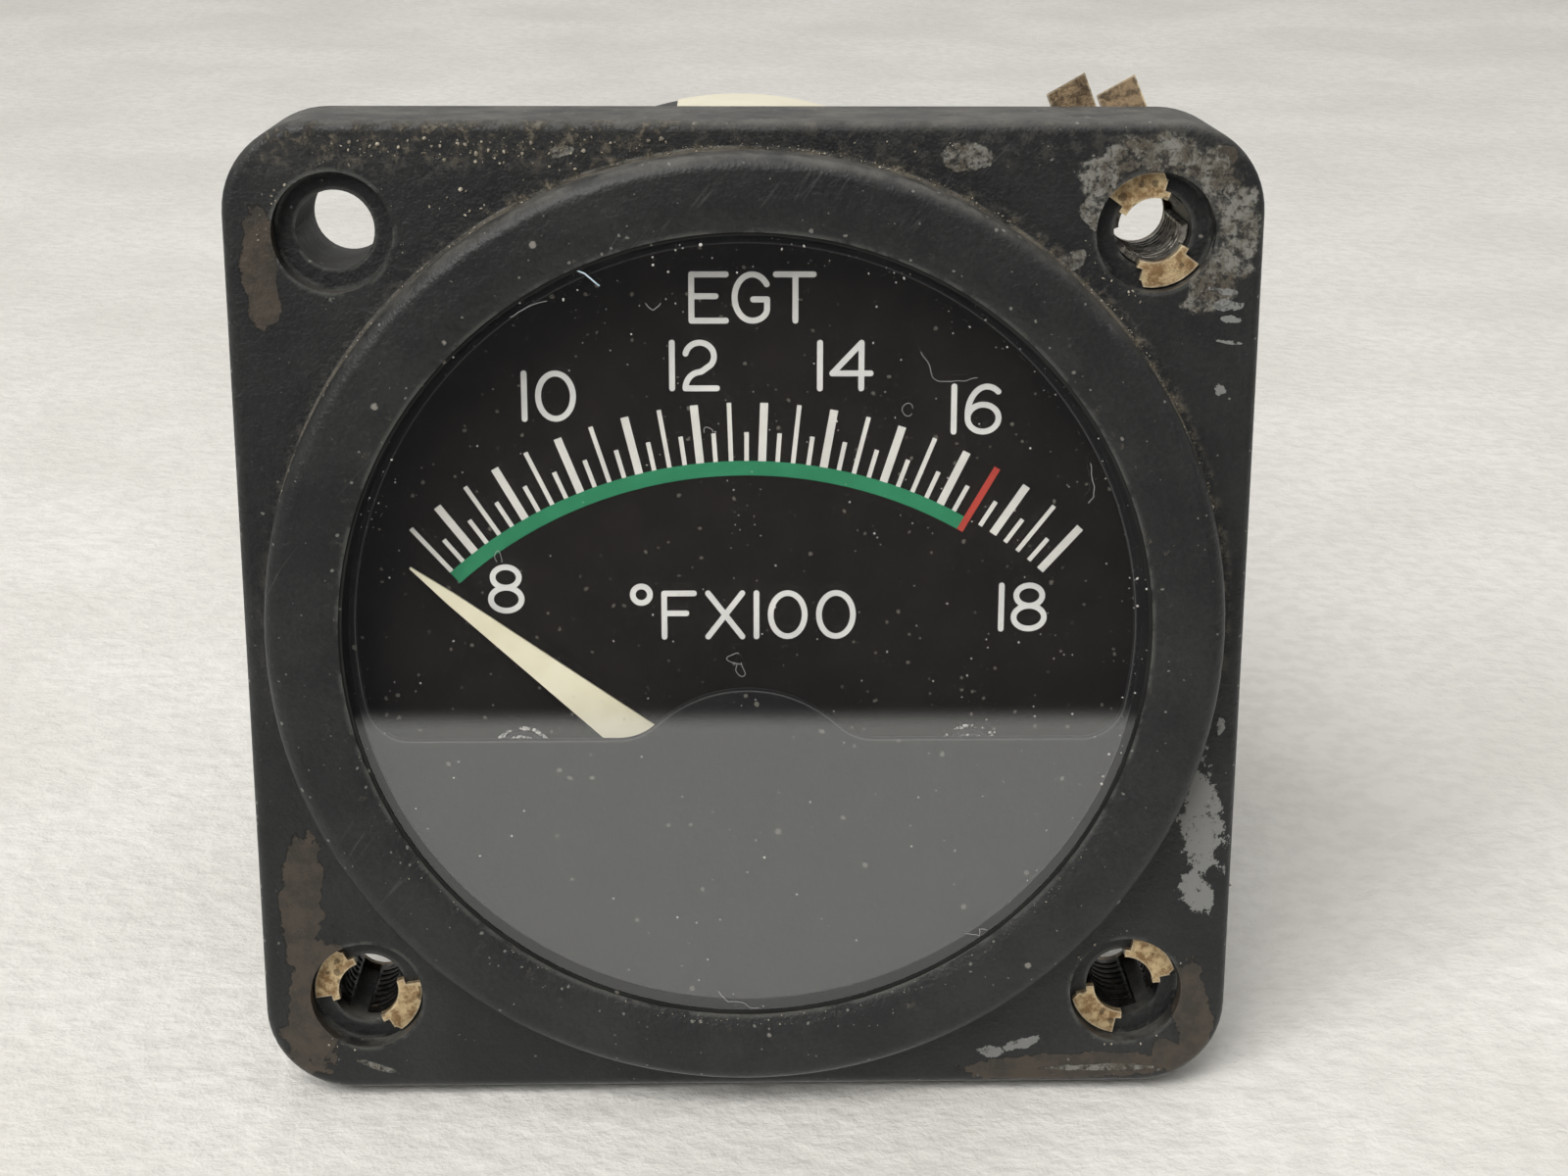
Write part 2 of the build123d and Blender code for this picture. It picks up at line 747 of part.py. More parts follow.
with BuildPart() as resistor_winding:
    with BuildSketch(at_depth(chassis_rear + spool_flange_thickness + glue_gap)):
        with Locations((0, spool_z)):
            Circle(resistor_winding_r)
            Circle(spool_core_r + glue_gap, mode=Mode.SUBTRACT)
    extrude(amount=-(spool_length - 2 * spool_flange_thickness - 2 * glue_gap))
resistor_winding.part.label = "resistor_winding"

with BuildPart() as resistor_screw:
    with BuildSketch(at_depth(chassis_front)):
        with Locations((0, spool_z)):
            Circle(spool_screw_r)
    extrude(amount=-(spool_rear - chassis_front))
    with BuildSketch(at_depth(spool_rear)):
        with Locations((0, spool_z)):
            Circle(spool_screw_head_r)
    extrude(amount=-spool_screw_head_height)
    with BuildSketch(at_depth(spool_rear + spool_screw_head_height)):
        with Locations((0, spool_z)):
            Rectangle(2 * spool_screw_head_r, slot_width * 2)
    extrude(amount=slot_depth, mode=Mode.SUBTRACT)
resistor_screw.part.label = "resistor_screw"

# Case: a drawn cup with a turned-out lip
with BuildPart() as case:
    with BuildSketch(Plane.XY):
        with BuildLine():
            Polyline((case_inner_r, case_front), (case_lip_r, case_front), (case_lip_r, case_front + case_wall),
                     (case_r, case_front + case_wall), (case_r, case_rear), (0, case_rear),
                     (0, case_inner_rear), (case_inner_r, case_inner_rear), close=True)
        make_face()
    revolve(axis=Axis.Y)
    case_rims = case.edges().filter_by(GeomType.CIRCLE).group_by(Axis.Y)
    fillet(case_rims[-1], case_rear_r)
    fillet(case_rims[-2], case_rear_r - case_wall)
    with Locations(at_rear(case_front + case_wall)):
        with PolarLocations(case_screw_circle_r, case_screw_count):
            Hole(case_screw_r + screw_clearance, depth=case_wall)
    with Locations(at_rear(case_rear)):
        with Locations((-terminal_spacing / 2, terminal_z), (terminal_spacing / 2, terminal_z)):
            Hole(bush_neck_r + bush_neck_clearance, depth=case_wall)
case.part.label = "case"

# Case screws
case_screw_face = case_front + case_wall
with BuildPart() as case_screws:
    with BuildSketch(at_depth(case_screw_face)):
        with PolarLocations(case_screw_circle_r, case_screw_count):
            Circle(case_screw_head_r)
    extrude(amount=-case_screw_head_height)
    fillet(case_screws.edges().group_by(Axis.Y)[-1], case_screw_head_height / 3)
    with BuildSketch(at_depth(case_screw_face + case_screw_head_height)):
        with PolarLocations(case_screw_circle_r, case_screw_count):
            Rectangle(2 * case_screw_head_r, slot_width, rotation=40)
    extrude(amount=slot_depth, mode=Mode.SUBTRACT)
    with BuildSketch(at_depth(case_screw_face)):
        with PolarLocations(case_screw_circle_r, case_screw_count):
            Circle(case_screw_r)
    extrude(amount=case_wall + case_screw_depth - case_screw_head_height)
case_screws.part.label = "case_screws"

# Paper label wrapped on the case
label_rear = case_rear - case_rear_r - label_rear_margin
with BuildPart() as case_label:
    with BuildSketch(at_depth(label_front)):
        with BuildLine():
            label_outer = CenterArc((0, 0), case_r + label_thickness, 90 - label_right_angle,
                                    label_right_angle - label_left_angle)
            label_inner = CenterArc((0, 0), case_r, 90 - label_right_angle,
                                    label_right_angle - label_left_angle)
            Line(label_outer @ 0, label_inner @ 0)
            Line(label_outer @ 1, label_inner @ 1)
        make_face()
    extrude(amount=-(label_rear - label_front))
case_label.part.label = "case_label"

# Terminal studs, one for each thermocouple alloy, from their heads inside the case
inner_bush_front = case_inner_rear - bush_flange_thickness
outer_bush_rear = case_rear + bush_flange_thickness
washer_rear = outer_bush_rear + washer_thickness
nut_rear = washer_rear + nut_thickness
stud_rear = nut_rear + stud_beyond_nut
alumel_x = -terminal_spacing / 2
chromel_x = terminal_spacing / 2
terminals = ((alumel_x, alumel_r), (chromel_x, chromel_r))

with BuildPart() as alumel_stud:
    with BuildSketch(at_depth(inner_bush_front)):
        with Locations((alumel_x, terminal_z)):
            Circle(stud_head_r)
    extrude(amount=stud_head_height)
    with BuildSketch(at_depth(inner_bush_front)):
        with Locations((alumel_x, terminal_z)):
            Circle(alumel_r)
    extrude(amount=-(stud_rear - inner_bush_front))
    chamfer(alumel_stud.edges().group_by(Axis.Y)[-1], alumel_r / 6)
alumel_stud.part.label = "alumel_stud"

with BuildPart() as chromel_stud:
    with BuildSketch(at_depth(inner_bush_front)):
        with Locations((chromel_x, terminal_z)):
            Circle(stud_head_r)
    extrude(amount=stud_head_height)
    with BuildSketch(at_depth(inner_bush_front)):
        with Locations((chromel_x, terminal_z)):
            Circle(chromel_r)
    extrude(amount=-(stud_rear - inner_bush_front))
    chamfer(chromel_stud.edges().group_by(Axis.Y)[-1], chromel_r / 6)
chromel_stud.part.label = "chromel_stud"

# Insulating bushes: inside, with a neck through the case wall
with BuildPart() as inner_bushes:
    for x, stud_r in terminals:
        with BuildSketch(at_depth(inner_bush_front)):
            with Locations((x, terminal_z)):
                Circle(bush_r)
                Circle(stud_r + stud_clearance, mode=Mode.SUBTRACT)
        extrude(amount=-bush_flange_thickness)
        with BuildSketch(at_depth(case_inner_rear)):
            with Locations((x, terminal_z)):
                Circle(bush_neck_r)
                Circle(stud_r + stud_clearance, mode=Mode.SUBTRACT)
        extrude(amount=-case_wall)
inner_bushes.part.label = "inner_bushes"

# Insulating washers outside the case
with BuildPart() as outer_bushes:
    for x, stud_r in terminals:
        with BuildSketch(at_depth(case_rear)):
            with Locations((x, terminal_z)):
                Circle(bush_r)
                Circle(stud_r + stud_clearance, mode=Mode.SUBTRACT)
        extrude(amount=-bush_flange_thickness)
outer_bushes.part.label = "outer_bushes"

# Metal washers
with BuildPart() as terminal_washers:
    for x, stud_r in terminals:
        with BuildSketch(at_depth(outer_bush_rear)):
            with Locations((x, terminal_z)):
                Circle(washer_r)
                Circle(stud_r + stud_clearance, mode=Mode.SUBTRACT)
        extrude(amount=-washer_thickness)
terminal_washers.part.label = "terminal_washers"

# Hexagon nuts
with BuildPart() as terminal_nuts:
    for x, stud_r in terminals:
        with BuildSketch(at_depth(washer_rear)):
            with Locations((x, terminal_z)):
                RegularPolygon(nut_across_flats / 2, 6, major_radius=False)
                Circle(stud_r + fit_clearance, mode=Mode.SUBTRACT)
        extrude(amount=-nut_thickness)
terminal_nuts.part.label = "terminal_nuts"

# Leads inside the case: alumel stud to resistor, resistor to chassis, chromel stud to the rear spring arm
stud_head_front = inner_bush_front - stud_head_height
lead_end_y = chassis_rear + spool_length / 2
rear_arm_z = pivot_z - regulator_stud_circle_r + lead_r
lead_paths = (
    (lead_bend_r, ((alumel_x, stud_head_front, terminal_z), (alumel_x, lead_turn_y, terminal_z),
                   (-spool_flange_r - lead_side_room, lead_turn_y - spool_length, spool_z),
                   (-spool_flange_r - lead_side_room, lead_end_y, spool_z),
                   (-resistor_winding_r, lead_end_y, spool_z))),
    (lead_bend_r, ((chromel_x, stud_head_front, terminal_z), (chromel_x, lead_turn_y, terminal_z),
                   (0, rear_bridge_rear + 3 * lead_bend_r, rear_arm_z), (0, rear_bridge_front, rear_arm_z))),
    (tail_bend_r, ((spool_flange_r + tail_side_room, chassis_rear, spool_z),
                   (spool_flange_r + tail_side_room, chassis_rear + spool_length / 3, spool_z),
                   (resistor_winding_r, chassis_rear + spool_length / 3, spool_z))),
)
with BuildPart() as internal_leads:
    for bend_r, points in lead_paths:
        with BuildLine() as lead_line:
            FilletPolyline(*points, radius=bend_r)
        with BuildSketch(Plane(lead_line.line @ 0, z_dir=lead_line.line % 0)):
            Circle(lead_r)
        sweep()
internal_leads.part.label = "internal_leads"

# Clip nuts: a strip behind the flange with a forked, bent tail, a split barrel through the corner hole,
# and two lips that spring out over the counterbore's floor.
clip_barrel_r = hole_r - clip_barrel_clearance
clip_lip_front = counterbore_depth - clip_thickness
clip_barrel_length = flange_thickness + clip_thickness - clip_lip_front
ear_width = (clip_width - clip_notch) / 2
lip_slope = math.tan(math.radians(clip_lip_half_angle))
tab_slope = math.tan(math.radians(clip_tab_half_angle))
with BuildPart() as clip_nuts:
    for side_x, side_z, tail_angle, ear_turns in clip_corners:
        tail = math.radians(tail_angle)
        clip_origin = Vector(side_x * hole_spacing / 2, 0, side_z * hole_spacing / 2)
        clip_face = Plane(clip_origin, x_dir=(math.cos(tail), 0, math.sin(tail)), z_dir=(0, -1, 0))
        lip_face = clip_face.offset(-clip_lip_front)
        with BuildSketch(clip_face.offset(-flange_thickness)):
            with Locations(((clip_tail - clip_short_end) / 2, 0)):
                Rectangle(clip_tail + clip_short_end, clip_width)
            Circle(clip_bore_r, mode=Mode.SUBTRACT)
        extrude(amount=-clip_thickness)
        for side, ear_length, (bend_angle, splay) in zip((-1, 1), (short_ear_length, long_ear_length), ear_turns):
            ear_middle = side * (clip_notch + ear_width) / 2
            drift = ear_length * math.tan(math.radians(splay))
            bend = Location((clip_tail, ear_middle, -flange_thickness), (0, bend_angle, 0))
            with BuildSketch(clip_face * bend):
                Polygon((0, -ear_width / 2), (ear_length + clip_ear_skew / 2, drift - ear_width / 2),
                        (ear_length - clip_ear_skew / 2, drift + ear_width / 2), (0, ear_width / 2), align=None)
            extrude(amount=-clip_thickness)
        with BuildSketch(lip_face):
            Circle(clip_barrel_r)
            Circle(clip_bore_r, mode=Mode.SUBTRACT)
            Rectangle(clip_split, 2 * clip_barrel_r, mode=Mode.SUBTRACT)
        extrude(amount=-clip_barrel_length)
        with BuildSketch(lip_face):
            Circle(clip_lip_r)
            for reach in (-clip_lip_r, clip_lip_r):
                Polygon((0, 0), (reach, -clip_lip_r * tab_slope), (reach, clip_lip_r * tab_slope), align=None,
                        mode=Mode.SUBTRACT)
        extrude(amount=-clip_rim_drop, mode=Mode.SUBTRACT)
        for half_face in (Plane(lip_face * Rotation(0, 0, turn)) for turn in (0, 180)):
            with BuildSketch(half_face):
                Circle(clip_lip_r)
                Polygon((0, 0), (clip_lip_r, -clip_lip_r * lip_slope), (clip_lip_r, clip_lip_r * lip_slope),
                        align=None, mode=Mode.INTERSECT)
                Circle(clip_bore_r, mode=Mode.SUBTRACT)
                with Locations((clip_lip_r, clip_lip_r * lip_slope * 2 / 3)):
                    Rectangle(clip_tear, clip_tear, rotation=clip_lip_half_angle / 2, mode=Mode.SUBTRACT)
                with Locations((clip_lip_r * math.cos(math.radians(clip_lip_half_angle)),
                                -clip_lip_r * math.sin(math.radians(clip_lip_half_angle)))):
                    Rectangle(clip_tear, clip_tear, mode=Mode.SUBTRACT)
            extrude(amount=-clip_thickness)
            with BuildSketch(half_face):
                Circle(clip_tab_r)
                Polygon((0, 0), (clip_tab_r, -clip_tab_r * tab_slope), (clip_tab_r, clip_tab_r * tab_slope),
                        align=None, mode=Mode.INTERSECT)
                Circle(clip_bore_r, mode=Mode.SUBTRACT)
            extrude(amount=-clip_thickness)
clip_nuts.part.label = "clip_nuts"

# Pointer: a tapered blade, a step down beside the bridge, a hub plate and balance arms
with BuildPart() as pointer:
    with BuildSketch(with_pointer(pointer_front)):
        with BuildLine():
            neck_y = pointer_length - pointer_neck_length
            Polyline((-pointer_arm_width / 2, pointer_step_r), (-pointer_base_width / 2, pointer_base_r),
                     (-pointer_neck_width / 2, neck_y), (-pointer_tip_width / 2, pointer_length),
                     (pointer_tip_width / 2, pointer_length), (pointer_neck_width / 2, neck_y),
                     (pointer_base_width / 2, pointer_base_r), (pointer_arm_width / 2, pointer_step_r), close=True)
        make_face()
    extrude(amount=-pointer_thickness)
    with BuildSketch(along_pointer()):
        with BuildLine():
            Polyline((pointer_step_r, pointer_front),
                     (pointer_step_r + pointer_thickness, pointer_front),
                     (pointer_step_r + pointer_thickness, pointer_front + pointer_thickness),
                     (pointer_step_r, pointer_front + pointer_thickness),
                     (pointer_foot_r, pointer_root_rear), (0, pointer_root_rear), (0, pointer_root_front),
                     (pointer_foot_r, pointer_root_front), close=True)
        make_face()
    extrude(amount=pointer_arm_width / 2, both=True)
    with BuildSketch(with_pointer(pointer_root_front)):
        Circle(pointer_hub_r)
        with Locations((0, -tail_length / 2)):
            Rectangle(balance_arm_width, tail_length)
        Rectangle(2 * side_arm_length, balance_arm_width)
    extrude(amount=-pointer_thickness)
    with BuildSketch(with_pointer(pointer_root_front)):
        Circle(staff_r + fit_clearance)
    extrude(amount=-pointer_thickness, mode=Mode.SUBTRACT)
pointer.part.label = "pointer"

# Hub that carries the pointer on the staff
with BuildPart() as pointer_hub:
    with BuildSketch(with_pointer(pointer_root_rear)):
        Circle(hub_r)
        Circle(staff_r + fit_clearance, mode=Mode.SUBTRACT)
    extrude(amount=-(front_base_front - pointer_root_rear))
pointer_hub.part.label = "pointer_hub"

# Balance weights on the tail and the side arms
weight_depth = (pointer_root_front + pointer_root_rear) / 2
arm_slot = balance_arm_width + 2 * weight_clearance
with BuildPart() as balance_weights:
    for turn, reach in ((180, tail_length), (90, side_arm_length), (-90, side_arm_length)):
        arm_frame = with_pointer(weight_depth) * Location((0, 0, 0), (0, 0, turn))
        weight_start = arm_frame * Location((0, reach - weight_length, 0), (-90, 0, 0))
        with BuildSketch(weight_start):
            Circle(weight_r)
            Rectangle(arm_slot, pointer_thickness + 2 * weight_clearance, mode=Mode.SUBTRACT)
        extrude(amount=weight_length)
balance_weights.part.label = "balance_weights"

# Coil former: a rectangular loop of thin aluminium round the magnet
with BuildPart() as coil_former:
    loop_middle = (former_front + former_rear) / 2
    loop_depth = former_rear - former_front
    with BuildSketch(across_pointer()):
        with Locations((0, loop_middle)):
            Rectangle(2 * former_outer_half, loop_depth)
            Rectangle(2 * former_inner_half, loop_depth - 2 * former_thickness, mode=Mode.SUBTRACT)
    extrude(amount=former_width / 2, both=True)
coil_former.part.label = "coil_former"

# Coil winding on the former
with BuildPart() as coil_winding:
    with BuildSketch(across_pointer()):
        with Locations((0, loop_middle)):
            Rectangle(2 * winding_outer_half, winding_rear - winding_front)
            Rectangle(2 * former_outer_half, loop_depth, mode=Mode.SUBTRACT)
    extrude(amount=winding_width / 2, both=True)
    corner_edges = coil_winding.edges().filter_by(Axis((0, 0, 0), across_pointer().z_dir))
    loop_centre = Vector(0, loop_middle, pivot_z)
    corner_edges = corner_edges.sort_by(lambda e: (e.center() - loop_centre).length)
    fillet(corner_edges[-4:], winding_thickness * 0.8)
coil_winding.part.label = "coil_winding"


def pivot_outline(base_face, shoulder, tip, spring_start, spring_end):
    """Half outline of a pivot: base plate on the coil, staff, spring collet and tip."""
    toward_tip = math.copysign(1, tip - base_face)
    staff_start = base_face + toward_tip * pivot_base_thickness
    collet = sorted((spring_start, spring_end), reverse=toward_tip < 0)
    Polyline((0, base_face), (pivot_base_r, base_face), (pivot_base_r, staff_start), (staff_r, staff_start),
             (staff_r, collet[0]), (collet_r, collet[0]), (collet_r, collet[1]), (staff_r, collet[1]),
             (staff_r, shoulder), (tip_r, shoulder), (tip_r, tip), (0, tip), close=True)


# Front pivot
with BuildPart() as front_pivot:
    with BuildSketch(Plane.XY.offset(pivot_z)):
        with BuildLine():
            pivot_outline(winding_front, front_tip + tip_length, front_tip,
                          front_spring_front, front_spring_front + spring_width)
        make_face()
    revolve(axis=Axis((0, 0, pivot_z), (0, 1, 0)))
front_pivot.part.label = "front_pivot"

# Rear pivot
with BuildPart() as rear_pivot:
    with BuildSketch(Plane.XY.offset(pivot_z)):
        with BuildLine():
            pivot_outline(winding_rear, rear_tip - tip_length, rear_tip,
                          rear_spring_front, rear_spring_front + spring_width)
        make_face()
    revolve(axis=Axis((0, 0, pivot_z), (0, 1, 0)))
rear_pivot.part.label = "rear_pivot"

pieces = [
    front_housing, glass_seal, glass, glass_gasket, dial_mask, mask_spacer, dial_plate, scale_marks,
    green_arc, red_line, dial_screws, pointer_stops, movement_chassis, clamp_ring, yoke_ring, core_magnet,
    core_clamps, front_bridge, rear_bridge, movement_screws, front_jewel_screw, rear_jewel_screw,
    front_regulator, rear_regulator, front_hairspring, rear_hairspring, resistor_spool, resistor_winding,
    resistor_screw, case, case_screws, case_label, alumel_stud, chromel_stud, inner_bushes, outer_bushes,
    terminal_washers, terminal_nuts, internal_leads, clip_nuts, pointer, pointer_hub, balance_weights, coil_former,
    coil_winding, front_pivot, rear_pivot,
]
os.makedirs("parts", exist_ok=True)
for piece in pieces:
    export_step(piece.part, f"parts/{piece.part.label}.step")
print(len(pieces), "pieces written")
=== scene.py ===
# %% [markdown]
# # Exhaust gas temperature gauge
# The instrument's solids come from CAD as a fixed frame. This script dresses them: worn black
# coating, printed dial, glass with dust, tarnished clip nuts, and the light they are seen in.
# First comes the frame. Blender works in metres, with the gauge's face along -Y. Places and sizes on
# the instrument are written in millimetres, as on a drawing, and MM turns them into metres.

import math

import bpy
from mathutils import Matrix, Vector


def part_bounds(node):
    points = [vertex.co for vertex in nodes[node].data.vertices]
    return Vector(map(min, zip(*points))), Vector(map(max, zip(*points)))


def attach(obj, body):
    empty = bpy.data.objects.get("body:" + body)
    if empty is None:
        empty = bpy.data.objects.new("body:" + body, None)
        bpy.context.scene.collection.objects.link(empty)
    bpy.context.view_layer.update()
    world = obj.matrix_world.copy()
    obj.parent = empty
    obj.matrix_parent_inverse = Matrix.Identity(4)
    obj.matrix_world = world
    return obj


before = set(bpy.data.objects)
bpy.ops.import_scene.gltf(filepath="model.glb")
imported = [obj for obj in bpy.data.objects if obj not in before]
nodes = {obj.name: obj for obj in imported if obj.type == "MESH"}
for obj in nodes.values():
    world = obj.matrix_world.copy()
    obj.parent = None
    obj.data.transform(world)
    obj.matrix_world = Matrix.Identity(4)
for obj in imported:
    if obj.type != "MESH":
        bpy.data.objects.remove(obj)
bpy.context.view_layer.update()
MM = 0.001


def part_box(name):
    """Lowest and highest corner of a CAD node, in metres."""
    low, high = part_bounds(name)
    return Vector(low), Vector(high)


# %% [markdown]
# ## Sizes read from the frame
# The dressing must sit on the solids, so its places are read from their boxes: the dial's face, the
# glass, the flange and the corner holes.

# %% Places on the instrument
housing_low, housing_high = part_box("front_housing")
DIAL_Y = part_box("dial_plate")[0].y
GLASS_Y = part_box("glass")[0].y
CASE_REAR = part_box("case")[1].y
FLANGE_REAR = housing_high.y
HOLE_SPACING = 47.625 * MM
half_hole = HOLE_SPACING / 2
print("dial face at", round(DIAL_Y / MM, 2), "mm, glass at", round(GLASS_Y / MM, 2), "mm")

# %% [markdown]
# ## Camera
# The photograph was taken from in front and a little above, close enough for the flange's top edge
# to look wider than its lower edge. A pinhole fit to the flange, the ring and the holes gave the
# place, the three angles and the lens. Its three axes are rows of a rotation, so the camera's
# matrix is written from them directly.

# %% Camera at the photograph's angle
SENSOR_WIDTH = 36.0
FOCAL_LENGTH = 63.92
CAMERA_PLACE = (-0.0013, -0.1612, 0.0467)
PITCH, YAW, ROLL = (math.radians(a) for a in (17.17, -1.55, -0.26))
camera_data = bpy.data.cameras.new("photo_camera")
camera_data.sensor_width = SENSOR_WIDTH
camera_data.lens = FOCAL_LENGTH
camera_data.shift_x = -0.0106
camera_data.shift_y = 0.0575
camera_data.clip_start = 0.01
camera = bpy.data.objects.new("photo_camera", camera_data)
bpy.context.scene.collection.objects.link(camera)
to_camera = Matrix.Rotation(ROLL, 3, "Z") @ Matrix.Rotation(YAW, 3, "Y") @ Matrix.Rotation(PITCH, 3, "X")
right = Vector((to_camera[0][0], to_camera[0][2], -to_camera[0][1]))
up = -Vector((to_camera[1][0], to_camera[1][2], -to_camera[1][1]))
forward = Vector((to_camera[2][0], to_camera[2][2], -to_camera[2][1]))
camera_turn = Matrix((right, up, -forward)).transposed().to_4x4()
camera.matrix_world = Matrix.Translation(CAMERA_PLACE) @ camera_turn
bpy.context.scene.camera = camera
print("camera looks along", [round(v, 3) for v in forward])

# %% [markdown]
# ## Small helpers for node trees
# Materials and Geometry Nodes trees are both built from nodes and links. A few short functions keep
# the cells below readable. One adds a node with its settings. Others do sums, send a value through a
# ramp or mix two colours, and each hands back the socket that the next step needs.


# %% Node helpers
def fill(tree, socket, value):
    """Links a socket to another node's output, or gives it a value of its own."""
    if isinstance(value, bpy.types.NodeSocket):
        tree.links.new(value, socket)
    elif socket.type == "RGBA" and len(value) == 3:
        socket.default_value = (*value, 1.0)
    else:
        socket.default_value = value


def add_node(tree, kind, inputs=None, **settings):
    """Adds a node, sets its properties, then fills its inputs."""
    node = tree.nodes.new(kind)
    for name, value in settings.items():
        setattr(node, name, value)
    for name, value in (inputs or {}).items():
        fill(tree, node.inputs[name], value)
    return node


print("nodes can be added and filled")


# %% Sums, ramps and colour mixes
def maths(tree, operation, first, second=0.0):
    """A maths node's output."""
    return add_node(tree, "ShaderNodeMath", {0: first, 1: second}, operation=operation).outputs[0]


def plus(tree, first, second):
    """The sum of two values."""
    return maths(tree, "ADD", first, second)


def minus(tree, first, second):
    """The first value less the second."""
    return maths(tree, "SUBTRACT", first, second)


def times(tree, first, second):
    """The product of two values."""
    return maths(tree, "MULTIPLY", first, second)


def most(tree, first, second):
    """The larger of two values."""
    return maths(tree, "MAXIMUM", first, second)


def remap(tree, value, low, high, to_low=0.0, to_high=1.0):
    """A value moved from one range to another with smooth ends, clamped."""
    ranges = {"Value": value, "From Min": low, "From Max": high, "To Min": to_low, "To Max": to_high}
    return add_node(tree, "ShaderNodeMapRange", ranges, interpolation_type="SMOOTHSTEP").outputs["Result"]


def blend(tree, share, first, second):
    """Two colours mixed by a share between 0 and 1."""
    inputs = {0: share, 6: first, 7: second}
    return add_node(tree, "ShaderNodeMix", inputs, data_type="RGBA", clamp_factor=True).outputs[2]


def stain(tree, colour, mask, strength, tone):
    """A colour with another tone laid over it where a mask says so, at most as strong as given."""
    return blend(tree, times(tree, mask, strength), colour, tone)


print("sums, ramps and colour mixes ready")


# %% Helpers for vectors, noise and bumps
def vector_maths(tree, operation, first, second=(0.0, 0.0, 0.0)):
    """A vector maths node's output: a number for a length or a dot product, else a vector."""
    node = add_node(tree, "ShaderNodeVectorMath", {0: first, 1: second}, operation=operation)
    return node.outputs["Value" if operation in ("LENGTH", "DOT_PRODUCT") else "Vector"]


def scaled(tree, vector, factor):
    """A vector made longer or shorter."""
    node = add_node(tree, "ShaderNodeVectorMath", {0: vector, "Scale": factor}, operation="SCALE")
    return node.outputs["Vector"]


def split(tree, vector):
    """The parts of a vector, as outputs named X, Y and Z."""
    return add_node(tree, "ShaderNodeSeparateXYZ", {0: vector}).outputs


def object_point(tree):
    """A point on the piece in metres, in the instrument's own frame."""
    return add_node(tree, "ShaderNodeTexCoord").outputs["Object"]


def noise(tree, vector, scale, detail, roughness):
    """A noise texture's value between 0 and 1."""
    look = {"Vector": vector, "Scale": scale, "Detail": detail, "Roughness": roughness}
    return add_node(tree, "ShaderNodeTexNoise", look).outputs["Fac"]


def bumped(tree, height, strength, distance):
    """A normal bumped by a height, at most by the given distance in metres."""
    look = {"Height": height, "Strength": strength, "Distance": distance}
    return add_node(tree, "ShaderNodeBump", look).outputs["Normal"]


print("vector helpers ready")


# %% Helpers for materials
def new_material(name):
    """A material with only a Principled shader. Returns the material, its tree and the shader."""
    material = bpy.data.materials.new(name)
    material.use_nodes = True
    tree = material.node_tree
    tree.nodes.clear()
    shader = tree.nodes.new("ShaderNodeBsdfPrincipled")
    add_node(tree, "ShaderNodeOutputMaterial", {"Surface": shader.outputs["BSDF"]})
    return material, tree, shader


def feed(tree, shader, **sockets):
    """Fills a Principled shader's sockets. Underscores stand for the spaces in their names."""
    for name, value in sockets.items():
        fill(tree, shader.inputs[name.replace("_", " ")], value)


def show_either(tree, share, first, second):
    """Ends a material in two shaders: the first where the share is 0, the second where it is 1."""
    mixer = add_node(tree, "ShaderNodeMixShader", {0: share, 1: first, 2: second})
    output = next(node for node in tree.nodes if node.type == "OUTPUT_MATERIAL")
    tree.links.new(mixer.outputs["Shader"], output.inputs["Surface"])


def dress(material, *names):
    """Gives CAD nodes a material in place of their plain one."""
    for name in names:
        for slot in nodes[name].material_slots:
            slot.material = material
    print(material.name, "on", ", ".join(names))


print("material helpers ready")


# %% Helpers for shader node groups
def group_tree(name, inputs, output):
    """A new shader node group. Its inputs are numbers, or vectors where the default is a tuple or None.

    Returns the tree, the values given to it and the socket of its one output.
    """
    tree = bpy.data.node_groups.new(name, "ShaderNodeTree")
    for label, value in inputs.items():
        kind = "NodeSocketFloat" if isinstance(value, float) else "NodeSocketVector"
        socket = tree.interface.new_socket(label, in_out="INPUT", socket_type=kind)
        if value is not None:
            socket.default_value = value
    tree.interface.new_socket(output, in_out="OUTPUT", socket_type="NodeSocketFloat")
    given = tree.nodes.new("NodeGroupInput").outputs
    return tree, given, tree.nodes.new("NodeGroupOutput").inputs[output]


def place_group(tree, group, **inputs):
    """Places a node group in a tree and gives its output. Underscores stand for spaces in input names."""
    filled = {name.replace("_", " "): value for name, value in inputs.items()}
    return add_node(tree, "ShaderNodeGroup", filled, node_tree=group).outputs[0]


print("group helpers ready")

# %% [markdown]
# ## Floor
# The instrument stands on its flange and leans back on its case, so in its own frame the floor is
# tilted by a few degrees. The floor is white napped cloth. Tufts, finer fuzz and slow folds are three
# noises, which set both its tone and its height. Mirrors see it as one even white.

# %% Cloth floor
label_high = part_box("case_label")[1]
FLOOR_TILT = math.atan2(-label_high.z - housing_low.z, label_high.y - FLANGE_REAR)
FLOOR_HALF = 1.5


def floor_sheet(name, back, lift, material):
    """A flat stage piece that lies along the tilted floor, from far in front to the given depth."""
    corners = [(x, y, housing_low.z + (y - FLANGE_REAR) * math.tan(FLOOR_TILT) + lift) for x, y in (
        (-FLOOR_HALF, -FLOOR_HALF), (FLOOR_HALF, -FLOOR_HALF), (FLOOR_HALF, back), (-FLOOR_HALF, back))]
    mesh = bpy.data.meshes.new(name)
    mesh.from_pydata(corners, [], [(0, 1, 2, 3)])
    mesh.materials.append(material)
    piece = bpy.data.objects.new(name, mesh)
    bpy.context.scene.collection.objects.link(piece)
    return piece


